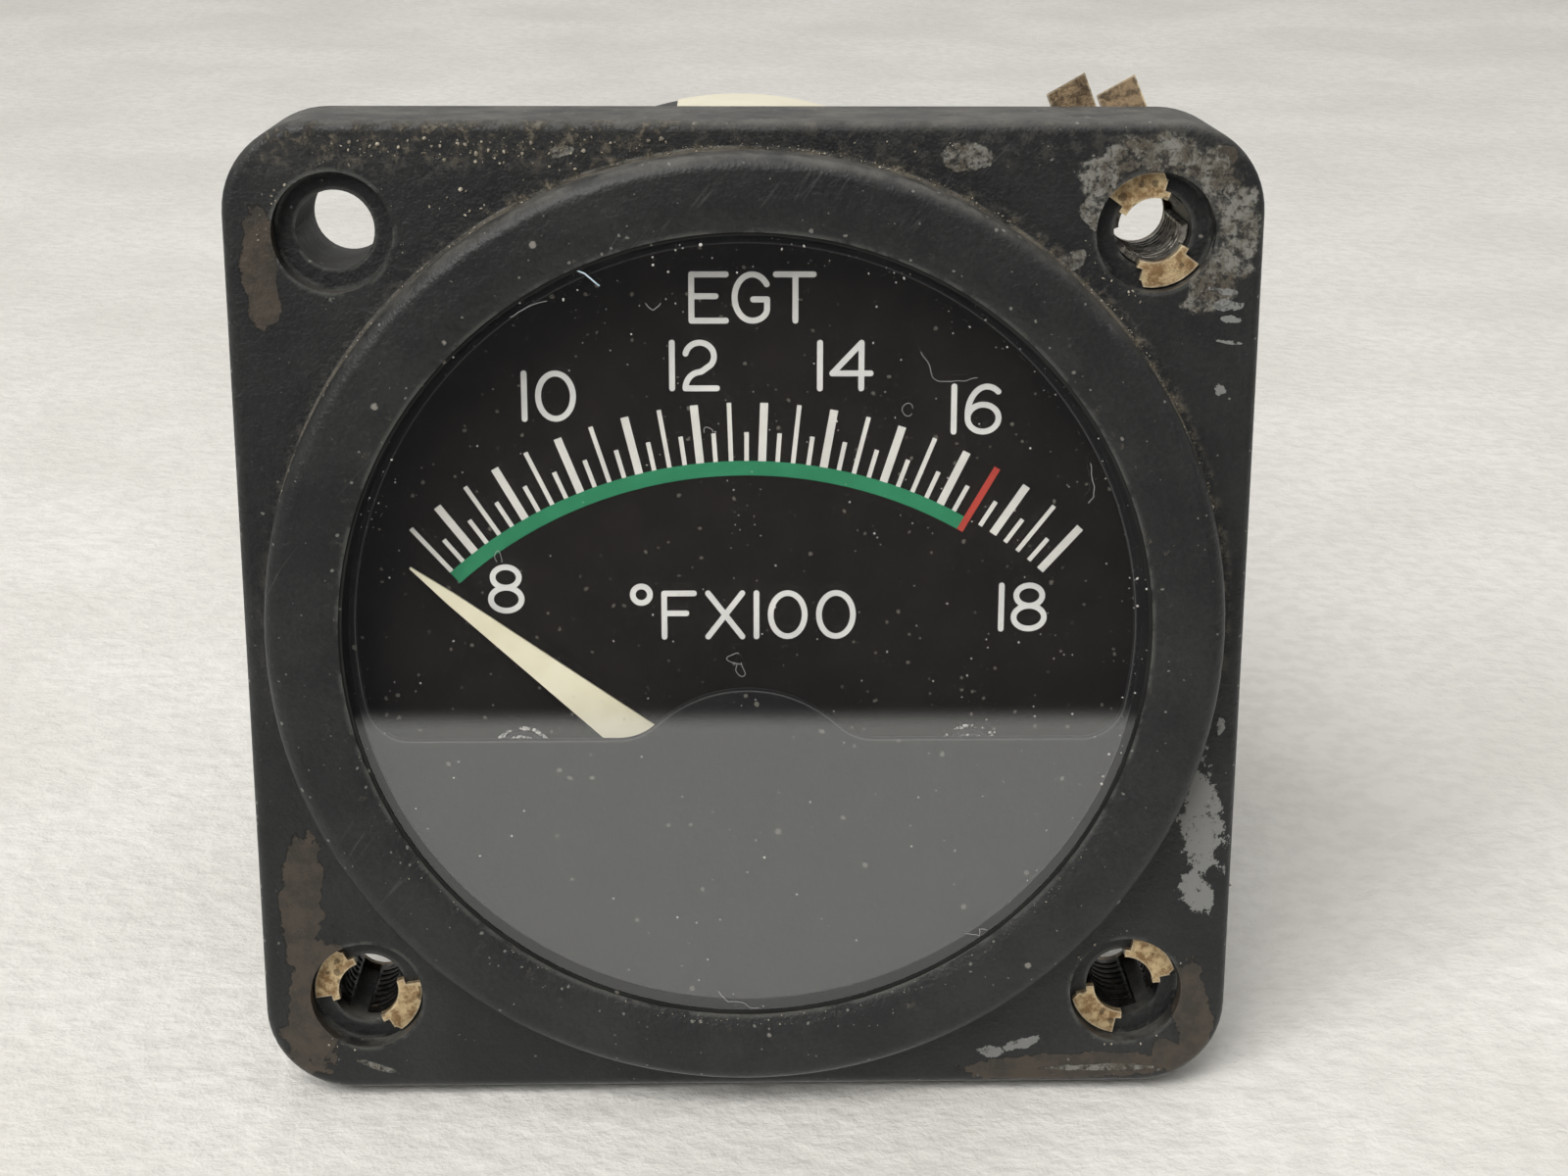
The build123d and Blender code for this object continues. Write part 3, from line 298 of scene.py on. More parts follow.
cloth, tree, shader = new_material("white_cloth")
point = object_point(tree)
tufts = noise(tree, point, 560.0, 3.0, 0.55)
fuzz = noise(tree, point, 1100.0, 6.0, 0.7)
folds = noise(tree, point, 28.0, 3.0, 0.5)
tone = blend(tree, remap(tree, folds, 0.3, 0.7), (0.81, 0.788, 0.740), (0.90, 0.882, 0.838))
tone = blend(tree, remap(tree, tufts, 0.34, 0.62, 0.35, 0.0), tone, (0.70, 0.68, 0.64))
height = plus(tree, times(tree, fuzz, 0.6), times(tree, tufts, 1.2))
height = plus(tree, height, times(tree, folds, 2.5))
feed(tree, shader, Base_Color=tone, Roughness=0.95, Specular_IOR_Level=0.2,
     Normal=bumped(tree, height, 0.45, 0.7 * MM))
rays = add_node(tree, "ShaderNodeLightPath").outputs
mirrored = add_node(tree, "ShaderNodeEmission", {"Color": (0.96, 0.95, 0.91), "Strength": 1.0})
show_either(tree, most(tree, rays["Is Glossy Ray"], rays["Is Transmission Ray"]),
            shader.outputs["BSDF"], mirrored.outputs["Emission"])
floor_sheet("floor", FLOOR_HALF, 0.0, cloth)
print("floor tilted by", round(math.degrees(FLOOR_TILT), 2), "degrees")

# %% [markdown]
# ## Dark card for reflections
# A pane of glass mirrors what lies in front of it: here the near part of the cloth, then the dark of
# the room. A dark card that only reflections see stands in for that room, so the glass gets its pale
# lower half from a true reflection. The card fades out towards the cloth's near part.

# %% Room card
CARD_START = -102 * MM
CARD_FADE = 8.5 * MM
CARD_LIFT = 0.5 * MM
dark_room, tree, shader = new_material("dark_room")
tree.nodes.remove(shader)
depth = split(tree, object_point(tree))["Y"]
room = add_node(tree, "ShaderNodeEmission", {"Color": (0.045, 0.045, 0.05), "Strength": 1.0})
clear = add_node(tree, "ShaderNodeBsdfTransparent")
show_either(tree, remap(tree, depth, CARD_START - CARD_FADE, CARD_START, 1.0, 0.0),
            clear.outputs["BSDF"], room.outputs["Emission"])
card = floor_sheet("room_card", CARD_START, CARD_LIFT, dark_room)
card.visible_camera = False
card.visible_diffuse = False
card.visible_shadow = False
print("card starts", round(-CARD_START / MM), "mm in front of the flange")

# %% [markdown]
# ## World and lamps
# One large window lamp from the upper left models the relief, a weak ceiling lamp softens it, and a
# plain pale world fills the rest. Mirrors see a world that is dark low down and bright overhead, as a
# room is, and the camera sees it as a pale wall.

# %% World and lamps
scene = bpy.context.scene
scene.view_settings.view_transform = "Standard"
world = bpy.data.worlds.new("soft_studio")
scene.world = world
world.use_nodes = True
tree = world.node_tree
tree.nodes.clear()
sky_height = split(tree, add_node(tree, "ShaderNodeTexCoord").outputs["Generated"])["Z"]
rays = add_node(tree, "ShaderNodeLightPath").outputs
in_mirror = remap(tree, sky_height, 0.0, 0.95, 0.12, 1.3)
lit = add_node(tree, "ShaderNodeMix", {"Factor": rays["Is Glossy Ray"], "A": 0.37, "B": in_mirror})
seen = add_node(tree, "ShaderNodeMix", {
    "Factor": rays["Is Camera Ray"], "A": lit.outputs["Result"], "B": 0.78})
sky = add_node(tree, "ShaderNodeBackground", {
    "Color": (1.0, 0.99, 0.97), "Strength": seen.outputs["Result"]})
add_node(tree, "ShaderNodeOutputWorld", {"Surface": sky.outputs["Background"]})


def soft_lamp(name, place, size, watts, tint):
    """A square area lamp aimed at the instrument."""
    data = bpy.data.lights.new(name, "AREA")
    data.size = size
    data.energy = watts
    data.color = tint
    lamp = bpy.data.objects.new(name, data)
    scene.collection.objects.link(lamp)
    lamp.location = place
    lamp.rotation_euler = (-Vector(place)).to_track_quat("-Z", "Y").to_euler()


soft_lamp("window_lamp", (-0.35, -0.65, 0.6), 0.6, 8.2, (1.0, 0.99, 0.97))
soft_lamp("ceiling_lamp", (0.1, 0.15, 0.9), 0.8, 1.8, (1.0, 1.0, 1.0))

# %% [markdown]
# ## Effects that several finishes share
# Old instruments carry the same marks everywhere: rubbed edges, dust, fine grain, scratches. Each is
# a shader node group with named inputs, built once. A group puts out masks and heights only, and the
# material decides what they do.


# %% Grain and specks
def fine_grain_group():
    """Height of a sprayed coating: orange peel with finer grain on it."""
    tree, given, result = group_tree(
        "fine_grain", {"Point": None, "Peel Scale": 1400.0, "Grain Scale": 5200.0, "Grain Share": 0.4},
        "Height")
    peel = noise(tree, given["Point"], given["Peel Scale"], 3.0, 0.5)
    grain = noise(tree, given["Point"], given["Grain Scale"], 2.0, 0.5)
    tree.links.new(plus(tree, peel, times(tree, grain, given["Grain Share"])), result)
    return tree


def specks_group():
    """Small separate dots of unlike size, such as dust that has settled."""
    tree, given, result = group_tree(
        "specks", {"Point": None, "Scale": 900.0, "Dot Size": 0.28, "Amount": 0.3}, "Mask")
    wobble = add_node(tree, "ShaderNodeTexNoise", {"Vector": given["Point"], "Scale": 3000.0, "Detail": 2.0})
    moved = vector_maths(tree, "ADD", given["Point"], scaled(tree, wobble.outputs["Color"], 0.25 * MM))
    cells = add_node(tree, "ShaderNodeTexVoronoi", {"Vector": moved, "Scale": given["Scale"]}).outputs
    chance = add_node(tree, "ShaderNodeSeparateColor", {"Color": cells["Color"]}).outputs
    kept = maths(tree, "LESS_THAN", chance["Red"], given["Amount"])
    inside = minus(tree, times(tree, given["Dot Size"], chance["Green"]), cells["Distance"])
    tree.links.new(times(tree, remap(tree, inside, 0.0, 0.08), kept), result)
    return tree


fine_grain = fine_grain_group()
specks = specks_group()
print("groups", fine_grain.name, specks.name)


# %% Rubbed edges and scratches
def rubbed_edges_group():
    """Mask of convex edges, broken up by noise. It compares the surface's direction with a rounded copy."""
    tree, given, result = group_tree(
        "rubbed_edges", {"Point": None, "Radius": 0.4 * MM, "Break Scale": 500.0, "Amount": 0.5}, "Mask")
    rounded = add_node(tree, "ShaderNodeBevel", {"Radius": given["Radius"]}, samples=4)
    surface = add_node(tree, "ShaderNodeNewGeometry")
    likeness = vector_maths(tree, "DOT_PRODUCT", rounded.outputs["Normal"], surface.outputs["Normal"])
    patchy = noise(tree, given["Point"], given["Break Scale"], 6.0, 0.65)
    limit = minus(tree, 1.0, given["Amount"])
    broken = remap(tree, patchy, limit, plus(tree, limit, 0.12))
    tree.links.new(times(tree, remap(tree, likeness, 0.995, 0.90), broken), result)
    return tree


def scratches_group():
    """Fine straight scratches: noise stretched along one direction and cut to thin lines."""
    tree, given, result = group_tree(
        "scratches", {"Point": None, "Turn": 0.6, "Scale": 260.0, "Amount": 0.5}, "Mask")
    turned = add_node(tree, "ShaderNodeVectorRotate", {"Vector": given["Point"], "Angle": given["Turn"]},
                      rotation_type="Y_AXIS")
    stretched = vector_maths(tree, "MULTIPLY", turned.outputs["Vector"], (0.05, 1.0, 1.0))
    lines = noise(tree, stretched, given["Scale"], 3.0, 0.6)
    thin = remap(tree, maths(tree, "ABSOLUTE", minus(tree, lines, 0.5)), 0.006, 0.0)
    patchy = noise(tree, given["Point"], 90.0, 3.0, 0.6)
    limit = minus(tree, 1.0, given["Amount"])
    tree.links.new(times(tree, thin, remap(tree, patchy, limit, plus(tree, limit, 0.1))), result)
    return tree


rubbed_edges = rubbed_edges_group()
scratches = scratches_group()
print("groups", rubbed_edges.name, scratches.name)


# %% Worn patches, rings of residue and settled dust
def worn_patch_group():
    """Mask of one rubbed or stained place: a turned ellipse whose rim is torn by a noise made outside."""
    tree, given, result = group_tree(
        "worn_patch", {"Point": None, "Centre": None, "Half Width": 3 * MM, "Half Height": 3 * MM,
                       "Turn": 0.0, "Torn": 0.5, "Tear": 0.6, "Softness": 0.1}, "Mask")
    offset = vector_maths(tree, "SUBTRACT", given["Point"], given["Centre"])
    turned = add_node(tree, "ShaderNodeVectorRotate", {"Vector": offset, "Angle": given["Turn"]},
                      rotation_type="Y_AXIS")
    parts = split(tree, turned.outputs["Vector"])
    across = maths(tree, "DIVIDE", parts["X"], given["Half Width"])
    upward = maths(tree, "DIVIDE", parts["Z"], given["Half Height"])
    reach = maths(tree, "SQRT", plus(tree, times(tree, across, across), times(tree, upward, upward)))
    shift = times(tree, minus(tree, given["Torn"], 0.5), given["Tear"])
    level = plus(tree, reach, times(tree, shift, 4.0))
    tree.links.new(remap(tree, level, plus(tree, 1.0, given["Softness"]), 1.0), result)
    return tree


def residue_ring_group():
    """Mask of dirt left around a hole: a torn ring that is open on one side."""
    tree, given, result = group_tree(
        "residue_ring", {"Point": None, "Centre": None, "Radius": 5 * MM, "Half Width": 1.2 * MM,
                         "Facing": (0.6, 0.0, 0.8), "Opening": -0.3, "Tear Scale": 700.0, "Tear": 1.0},
        "Mask")
    offset = vector_maths(tree, "SUBTRACT", given["Point"], given["Centre"])
    flat = vector_maths(tree, "MULTIPLY", offset, (1.0, 0.0, 1.0))
    reach = vector_maths(tree, "LENGTH", flat)
    side = vector_maths(tree, "DOT_PRODUCT", vector_maths(tree, "NORMALIZE", flat), given["Facing"])
    away = maths(tree, "ABSOLUTE", minus(tree, reach, given["Radius"]))
    opened = remap(tree, side, given["Opening"], minus(tree, given["Opening"], 0.5), 0.0, 2.0)
    level = plus(tree, maths(tree, "DIVIDE", away, given["Half Width"]), opened)
    torn = noise(tree, given["Point"], given["Tear Scale"], 8.0, 0.7)
    shift = times(tree, minus(tree, torn, 0.5), times(tree, given["Tear"], 4.0))
    tree.links.new(remap(tree, plus(tree, level, shift), 1.25, 0.95), result)
    return tree


def settled_dust_group():
    """Mask of dust that lies on surfaces which face up, thin and patchy."""
    tree, given, result = group_tree(
        "settled_dust", {"Point": None, "Amount": 0.5, "Patch Scale": 350.0}, "Mask")
    surface = add_node(tree, "ShaderNodeNewGeometry")
    upward = remap(tree, split(tree, surface.outputs["Normal"])["Z"], 0.3, 0.95)
    patchy = remap(tree, noise(tree, given["Point"], given["Patch Scale"], 6.0, 0.7), 0.3, 0.75)
    tree.links.new(times(tree, times(tree, upward, patchy), given["Amount"]), result)
    return tree


worn_patch = worn_patch_group()
residue_ring = residue_ring_group()
settled_dust = settled_dust_group()
print("groups", worn_patch.name, residue_ring.name, settled_dust.name)

# %% [markdown]
# ## Worn black coating of the front housing
# The flange and ring are cast metal under a thin charcoal coating, satin and slightly pebbled. It has
# been handled for decades: corners are rubbed to a brown undercoat, grey residue clings round the
# corner holes, and tan dust lies along the ring's foot and the top edge. Each place is a torn patch or
# ring in the material, so all of it stays procedural. First come the places.

# %% Where the coating is worn
# Each patch: centre x and z, half width and half height in millimetres, turn in degrees
BROWN_PATCHES = (
    (-28.0, 21.6, 1.0, 3.6, 2), (-27.6, -17.4, 1.3, 4.6, -6), (-26.9, -24.6, 1.9, 4.6, -12),
    (28.1, -25.4, 1.2, 3.6, 8), (20.8, -29.0, 7.2, 0.9, 2), (26.9, -28.4, 1.6, 1.0, -35),
    (27.2, 28.0, 1.2, 0.8, 25),
)
GREY_PATCHES = (
    (12.5, 28.15, 1.45, 0.7, -6), (-10.7, 28.4, 0.9, 0.25, 10), (22.5, -29.1, 4.0, 0.25, 0),
    (-23.4, -28.6, 1.4, 0.2, -20), (20.2, 24.9, 0.7, 1.1, 30), (19.0, 22.2, 0.9, 0.5, 20),
)
BARE_PATCHES = (
    (28.15, -12.6, 1.15, 3.9, 5), (28.0, -17.0, 0.85, 1.5, 20), (28.1, 20.4, 0.9, 0.16, -8),
    (28.2, 19.6, 1.0, 0.30, 4), (28.0, 18.8, 0.8, 0.22, -5), (28.3, 17.4, 0.9, 0.13, -8),
    (27.9, 14.6, 0.35, 0.45, 20), (29.0, -6.5, 0.25, 0.7, 0), (17.5, -27.3, 1.0, 0.3, 20),
    (15.2, -27.9, 0.7, 0.35, -10),
)


def patches_mask(tree, point, patches, tear, softness):
    """The strongest of several worn patches. They share one noise, which costs far less than one each."""
    torn = noise(tree, point, 600.0, 8.0, 0.68)
    total = None
    for x, z, half_width, half_height, turn in patches:
        mask = place_group(tree, worn_patch, Point=point, Centre=(x * MM, 0.0, z * MM),
                           Half_Width=half_width * MM, Half_Height=half_height * MM,
                           Turn=math.radians(turn), Torn=torn, Tear=tear, Softness=softness)
        total = mask if total is None else most(tree, total, mask)
    return total


coating, tree, shader = new_material("worn_black_coating")
point = object_point(tree)
place = split(tree, point)
depth = place["Y"]
# Wear lies on the flange's front and fades over its edge, and the ring has none of it
front_only = times(tree, remap(tree, depth, 1.3 * MM, 0.7 * MM), remap(tree, depth, -0.6 * MM, -0.1 * MM))
brown_mask = times(tree, patches_mask(tree, point, BROWN_PATCHES, 0.42, 0.06), front_only)
bare_mask = times(tree, patches_mask(tree, point, BARE_PATCHES, 1.1, 0.04), front_only)
corner_dirt = place_group(tree, residue_ring, Point=point, Centre=(half_hole, 0.0, half_hole),
                          Radius=4.6 * MM, Half_Width=1.05 * MM, Facing=(0.72, 0.0, 0.69), Opening=-0.1,
                          Tear=1.05, Tear_Scale=520.0)
grey_mask = most(tree, patches_mask(tree, point, GREY_PATCHES, 0.6, 0.1), corner_dirt)
grey_mask = times(tree, grey_mask, front_only)
print(len(BROWN_PATCHES) + len(GREY_PATCHES) + len(BARE_PATCHES), "worn patches")

# %% [markdown]
# Dust gathers where a finger or a cloth can't reach. Here that is the ring's foot, mostly at the upper
# right, the slope down to the glass and the strip along the top edge. Each place is a product of
# ramps over the distance from the ring's axis, the depth and the height.

# %% Where dust gathers
FOOT_R = 28.6 * MM
radius = plus(tree, maths(tree, "POWER", place["X"], 2.0), maths(tree, "POWER", place["Z"], 2.0))
radius = maths(tree, "SQRT", radius)
to_upper_right = plus(tree, times(tree, place["X"], 0.5), times(tree, place["Z"], 0.87))
near_foot = times(tree, remap(tree, radius, FOOT_R + 1.0 * MM, FOOT_R),
                  remap(tree, radius, FOOT_R - 0.3 * MM, FOOT_R - 0.1 * MM))
near_foot = times(tree, near_foot, remap(tree, depth, -1.0 * MM, -0.1 * MM))
near_foot = times(tree, near_foot, remap(tree, to_upper_right, 8 * MM, 18 * MM, 0.2, 1.0))
near_glass = times(tree, remap(tree, radius, 26.6 * MM, 24.6 * MM), remap(tree, depth, 0.2 * MM, -1.5 * MM))
top_strip = times(tree, remap(tree, place["Z"], 26.6 * MM, 29.2 * MM), front_only)
top_strip = times(tree, top_strip, remap(tree, place["X"], -1 * MM, -7 * MM, 0.25, 1.0))
foot_line = times(tree, remap(tree, radius, FOOT_R + 0.25 * MM, FOOT_R + 0.1 * MM),
                  remap(tree, radius, FOOT_R - 0.1 * MM, FOOT_R - 0.02 * MM))
foot_line = times(tree, foot_line, remap(tree, noise(tree, point, 260.0, 7.0, 0.75), 0.36, 0.62, 0.0, 0.75))
foot_line = times(tree, foot_line, remap(tree, depth, -0.6 * MM, -0.05 * MM))
crumbs = noise(tree, point, 950.0, 8.0, 0.78)
dust_mask = most(tree, times(tree, near_foot, remap(tree, crumbs, 0.48, 0.60)), foot_line)
dust_mask = most(tree, dust_mask, times(tree, near_glass, remap(tree, crumbs, 0.60, 0.70, 0.0, 0.6)))
dust_mask = most(tree, dust_mask, times(tree, top_strip, remap(tree, crumbs, 0.49, 0.60, 0.0, 0.6)))
print("dust round a foot of radius", round(FOOT_R / MM, 1), "mm")

# %% [markdown]
# The colour is built in layers, as the coating's life went: sprayed black, fine scratches and rubbed
# edges, undercoat where it wore through, residue, bare metal, and last the dust that lies on top.

# %% Colour of the coating
BROWN, BROWN_DARK = (0.052, 0.041, 0.030), (0.030, 0.025, 0.019)
GREY_RESIDUE, TAN_RESIDUE = (0.192, 0.189, 0.168), (0.075, 0.064, 0.049)
PALE_METAL = (0.180, 0.181, 0.174)
TAN_DUST = (0.22, 0.19, 0.14)
lines = place_group(tree, scratches, Point=point, Turn=0.9, Scale=300.0, Amount=0.45)
edges = place_group(tree, rubbed_edges, Point=point, Radius=0.5 * MM, Amount=0.60)
lying = place_group(tree, settled_dust, Point=point, Amount=0.6)
dots = place_group(tree, specks, Point=point, Scale=750.0, Dot_Size=0.20, Amount=0.12)
tiny = place_group(tree, specks, Point=point, Scale=2100.0, Dot_Size=0.34, Amount=0.22)
pebbles = times(tree, minus(tree, noise(tree, point, 3200.0, 3.0, 0.7), 0.5), 0.7)
mottled = plus(tree, noise(tree, point, 160.0, 5.0, 0.6), pebbles)
colour = blend(tree, remap(tree, mottled, 0.3, 0.75), (0.0072, 0.0076, 0.0081), (0.0178, 0.0181, 0.0181))
colour = stain(tree, colour, lines, 0.35, (0.09, 0.09, 0.088))
colour = stain(tree, colour, edges, 0.6, (0.12, 0.12, 0.11))
brown_tone = blend(tree, remap(tree, noise(tree, point, 420.0, 7.0, 0.72), 0.42, 0.6), BROWN, BROWN_DARK)
colour = blend(tree, brown_mask, colour, brown_tone)
crusted = remap(tree, noise(tree, point, 420.0, 10.0, 0.82), 0.44, 0.56)
grey_tone = blend(tree, crusted, TAN_RESIDUE, GREY_RESIDUE)
pitted = times(tree, grey_mask, remap(tree, noise(tree, point, 1300.0, 7.0, 0.78), 0.38, 0.50))
colour = stain(tree, colour, pitted, 0.9, grey_tone)
bare = times(tree, bare_mask, remap(tree, noise(tree, point, 1100.0, 8.0, 0.8), 0.40, 0.45))
colour = blend(tree, bare, colour, PALE_METAL)
colour = stain(tree, colour, dust_mask, 0.7, TAN_DUST)
colour = blend(tree, lying, colour, (0.20, 0.19, 0.165))
colour = stain(tree, colour, dots, 0.5, (0.36, 0.34, 0.30))
colour = stain(tree, colour, tiny, 0.4, (0.32, 0.31, 0.28))
print("coating tree has", len(tree.nodes), "nodes")

# %% Shine and relief of the coating
dirt = most(tree, most(tree, pitted, dust_mask), lying)
rough = plus(tree, 0.40, times(tree, noise(tree, point, 240.0, 4.0, 0.6), 0.16))
rough = plus(tree, rough, times(tree, dirt, 0.4))
relief = place_group(tree, fine_grain, Point=point, Peel_Scale=1500.0, Grain_Scale=5200.0, Grain_Share=0.5)
relief = plus(tree, relief, times(tree, brown_mask, -1.6))
relief = plus(tree, relief, plus(tree, pitted, dust_mask))
feed(tree, shader, Base_Color=colour, Roughness=rough, Specular_IOR_Level=0.4,
     Normal=bumped(tree, relief, 0.9, 0.08 * MM))
dress(coating, "front_housing")

# %% [markdown]
# ## Dial, mask and their paint
# Dial and mask are thin plates sprayed matte black. The scale's marks are cream ink, the arc green
# and one line red. Ink has soft brightness changes and dust on it, so none of these is one flat
# colour. The mask's punched edges carry a pale painted highlight, broken up like rubbed wear, which draws
# its outline under the glass.


# %% Matte plates and inks
def matte_paint(name, first, second, speck_amount, roughness, mottle=300.0, sheen=0.3, edge_highlight_tone=None):
    """Matte paint or ink in two close tones, with settled dust and, if asked, pale rubbed edges as a painted
    highlight.
    """
    material, tree, shader = new_material(name)
    point = object_point(tree)
    colour = blend(tree, remap(tree, noise(tree, point, mottle, 5.0, 0.6), 0.35, 0.65), first, second)
    small = place_group(tree, specks, Point=point, Scale=1500.0, Dot_Size=0.3, Amount=speck_amount)
    large = place_group(tree, specks, Point=point, Scale=520.0, Dot_Size=0.16, Amount=speck_amount)
    colour = stain(tree, colour, most(tree, small, large), 0.35, (0.35, 0.33, 0.28))
    # Pale rubbed edges here are a painted highlight that outlines the piece
    if edge_highlight_tone:
        edges = place_group(tree, rubbed_edges, Point=point, Radius=0.2 * MM, Amount=0.75)
        colour = blend(tree, edges, colour, edge_highlight_tone)
    grain = place_group(tree, fine_grain, Point=point, Peel_Scale=2600.0, Grain_Scale=7000.0)
    feed(tree, shader, Base_Color=colour, Roughness=roughness, Specular_IOR_Level=sheen,
         Normal=bumped(tree, grain, 0.25, 0.03 * MM))
    return material


dark_rubber = matte_paint("dark_rubber", (0.012, 0.012, 0.012), (0.018, 0.018, 0.017), 0.10, 0.85,
                          sheen=0.2)
dial_black = matte_paint("dial_black", (0.0088, 0.0074, 0.0058), (0.0130, 0.0108, 0.0084), 0.16, 0.8,
                         sheen=0.12)
# The mask's pale edge tone is a painted highlight along its punched edges
mask_black = matte_paint("mask_black", (0.0075, 0.0075, 0.0075), (0.0105, 0.0105, 0.0102), 0.06, 0.8,
                         sheen=0.15, edge_highlight_tone=(0.11, 0.11, 0.105))
ink_cream = matte_paint("ink_cream", (0.66, 0.65, 0.61), (0.75, 0.74, 0.69), 0.05, 0.6)
ink_green = matte_paint("ink_green", (0.018, 0.205, 0.094), (0.026, 0.245, 0.115), 0.05, 0.55)
ink_red = matte_paint("ink_red", (0.42, 0.045, 0.03), (0.50, 0.06, 0.04), 0.02, 0.55)
pointer_cream = matte_paint("pointer_cream", (0.74, 0.69, 0.50), (0.84, 0.80, 0.62), 0.04, 0.5,
                            mottle=220.0)
screw_black = matte_paint("screw_black", (0.010, 0.010, 0.010), (0.03, 0.03, 0.03), 0.10, 0.45)
dress(dial_black, "dial_plate", "mask_spacer")
dress(mask_black, "dial_mask")
dress(dark_rubber, "glass_seal", "glass_gasket")
dress(ink_cream, "scale_marks")
dress(ink_green, "green_arc")
dress(ink_red, "red_line")
dress(pointer_cream, "pointer")
dress(screw_black, "dial_screws")

# %% [markdown]
# ## Lettering
# The numbers and words on the dial are drawn with a pen of one width: straight strokes and arcs with
# round ends. A font would have the wrong shapes, so each glyph is a short list of centre lines in a
# box one unit high. A Geometry Nodes tree turns the lines into flat paint: a thin bar swept along
# each line, and a disc on each line's two ends. Lines that cross lie a few thousandths of a
# millimetre apart in depth, so that no two painted faces coincide.

# %% Glyphs as centre lines
CAP_HEIGHT = 2.74 * MM
ARC_STEPS = 28


def bow(centre_x, centre_y, reach_x, reach_y, start, end):
    """Points along part of an ellipse, angles in degrees counter-clockwise from +x."""
    turns = [math.radians(start + (end - start) * i / ARC_STEPS) for i in range(ARC_STEPS + 1)]
    return [(centre_x + reach_x * math.cos(t), centre_y + reach_y * math.sin(t)) for t in turns]


# Each glyph: its width and its strokes
GLYPHS = {
    "0": (0.76, [bow(0.38, 0.5, 0.38, 0.5, 90, 450)]),
    "1": (0.0, [[(0, 0), (0, 1)]]),
    "2": (0.68, [bow(0.31, 0.70, 0.31, 0.30, 168, -38), [(0.554, 0.515), (0.34, 0.36)],
                 bow(0.34, 0.0, 0.34, 0.36, 90, 180), [(0, 0), (0.68, 0)]]),
    "4": (0.83, [[(0.63, 0), (0.63, 1)], [(0.63, 1), (0, 0.33)], [(0, 0.33), (0.83, 0.33)]]),
    "6": (0.68, [bow(0.34, 0.30, 0.34, 0.30, 0, 360), bow(0.42, 0.38, 0.42, 0.62, 55, 190)]),
    "8": (0.68, [bow(0.34, 0.765, 0.29, 0.235, 0, 360), bow(0.34, 0.265, 0.34, 0.265, 0, 360)]),
    "E": (0.74, [[(0, 0), (0, 1)], [(0, 1), (0.74, 1)], [(0, 0.53), (0.52, 0.53)], [(0, 0), (0.74, 0)]]),
    "F": (0.66, [[(0, 0), (0, 1)], [(0, 1), (0.66, 1)], [(0, 0.54), (0.49, 0.54)]]),
    "G": (0.70, [bow(0.38, 0.5, 0.38, 0.5, 35, 270), bow(0.38, 0.26, 0.32, 0.26, 270, 360),
                 [(0.70, 0.26), (0.70, 0.46)], [(0.70, 0.46), (0.40, 0.46)]]),
    "T": (0.81, [[(0, 1), (0.81, 1)], [(0.42, 0), (0.42, 1)]]),
    "X": (0.76, [[(0, 0), (0.76, 1)], [(0, 1), (0.76, 0)]]),
    "o": (0.38, [bow(0.19, 0.975, 0.19, 0.19, 0, 360)]),
}
print(len(GLYPHS), "glyphs,", round(CAP_HEIGHT / MM, 2), "mm high")

# %% Labels on the dial
# Each label: text, x of its first line and z of its foot in millimetres, gap between glyphs
LABELS = (
    ("EGT", -3.20, 18.32, 0.19), ("12", -4.38, 14.27, 0.29), ("14", 4.41, 14.25, 0.27),
    ("10", -13.18, 12.44, 0.30), ("16", 12.44, 11.61, 0.30), ("8", -15.51, 0.57, 0.0),
    ("18", 15.58, -0.69, 0.28), ("oFX100", -6.90, -1.12, 0.315),
)


def label_lines(text, x, z, gap):
    """Centre lines of a label in metres, in the dial's plane."""
    lines = []
    for letter in text:
        width, strokes = GLYPHS[letter]
        for stroke in strokes:
            lines.append([(x * MM + u * CAP_HEIGHT, z * MM + v * CAP_HEIGHT) for u, v in stroke])
        x += (width + gap) * CAP_HEIGHT / MM
    return lines


lettering = [line for label in LABELS for line in label_lines(*label)]
print(len(LABELS), "labels,", len(lettering), "pen strokes")

# %% [markdown]
# A Geometry Nodes tree needs an object to work on. Lines become a curve object, the tree runs on it as
# a modifier, and the result is kept as a plain mesh. The base and its modifier are then dropped, so
# every piece that rides on the instrument is simple geometry at the origin.


# %% Helpers for Geometry Nodes pieces
def geometry_tree(name, inputs):
    """A new Geometry Nodes tree. Its inputs are floats, or integers where the default is one.

    Geometry comes before them and Material after. Returns the tree and the values given to it.
    """
    tree = bpy.data.node_groups.new(name, "GeometryNodeTree")
    tree.interface.new_socket("Geometry", in_out="INPUT", socket_type="NodeSocketGeometry")
    tree.interface.new_socket("Geometry", in_out="OUTPUT", socket_type="NodeSocketGeometry")
    for label, value in inputs.items():
        kind = "NodeSocketInt" if isinstance(value, int) else "NodeSocketFloat"
        tree.interface.new_socket(label, in_out="INPUT", socket_type=kind).default_value = value
    tree.interface.new_socket("Material", in_out="INPUT", socket_type="NodeSocketMaterial")
    return tree, tree.nodes.new("NodeGroupInput").outputs


def finish_tree(tree, geometry, given):
    """Ends a tree with real geometry and one material."""
    real = add_node(tree, "GeometryNodeRealizeInstances", {"Geometry": geometry})
    painted = add_node(tree, "GeometryNodeSetMaterial",
                       {"Geometry": real.outputs["Geometry"], "Material": given["Material"]})
    add_node(tree, "NodeGroupOutput", {"Geometry": painted.outputs["Geometry"]})
    print("tree", tree.name, "has", len(tree.nodes), "nodes")


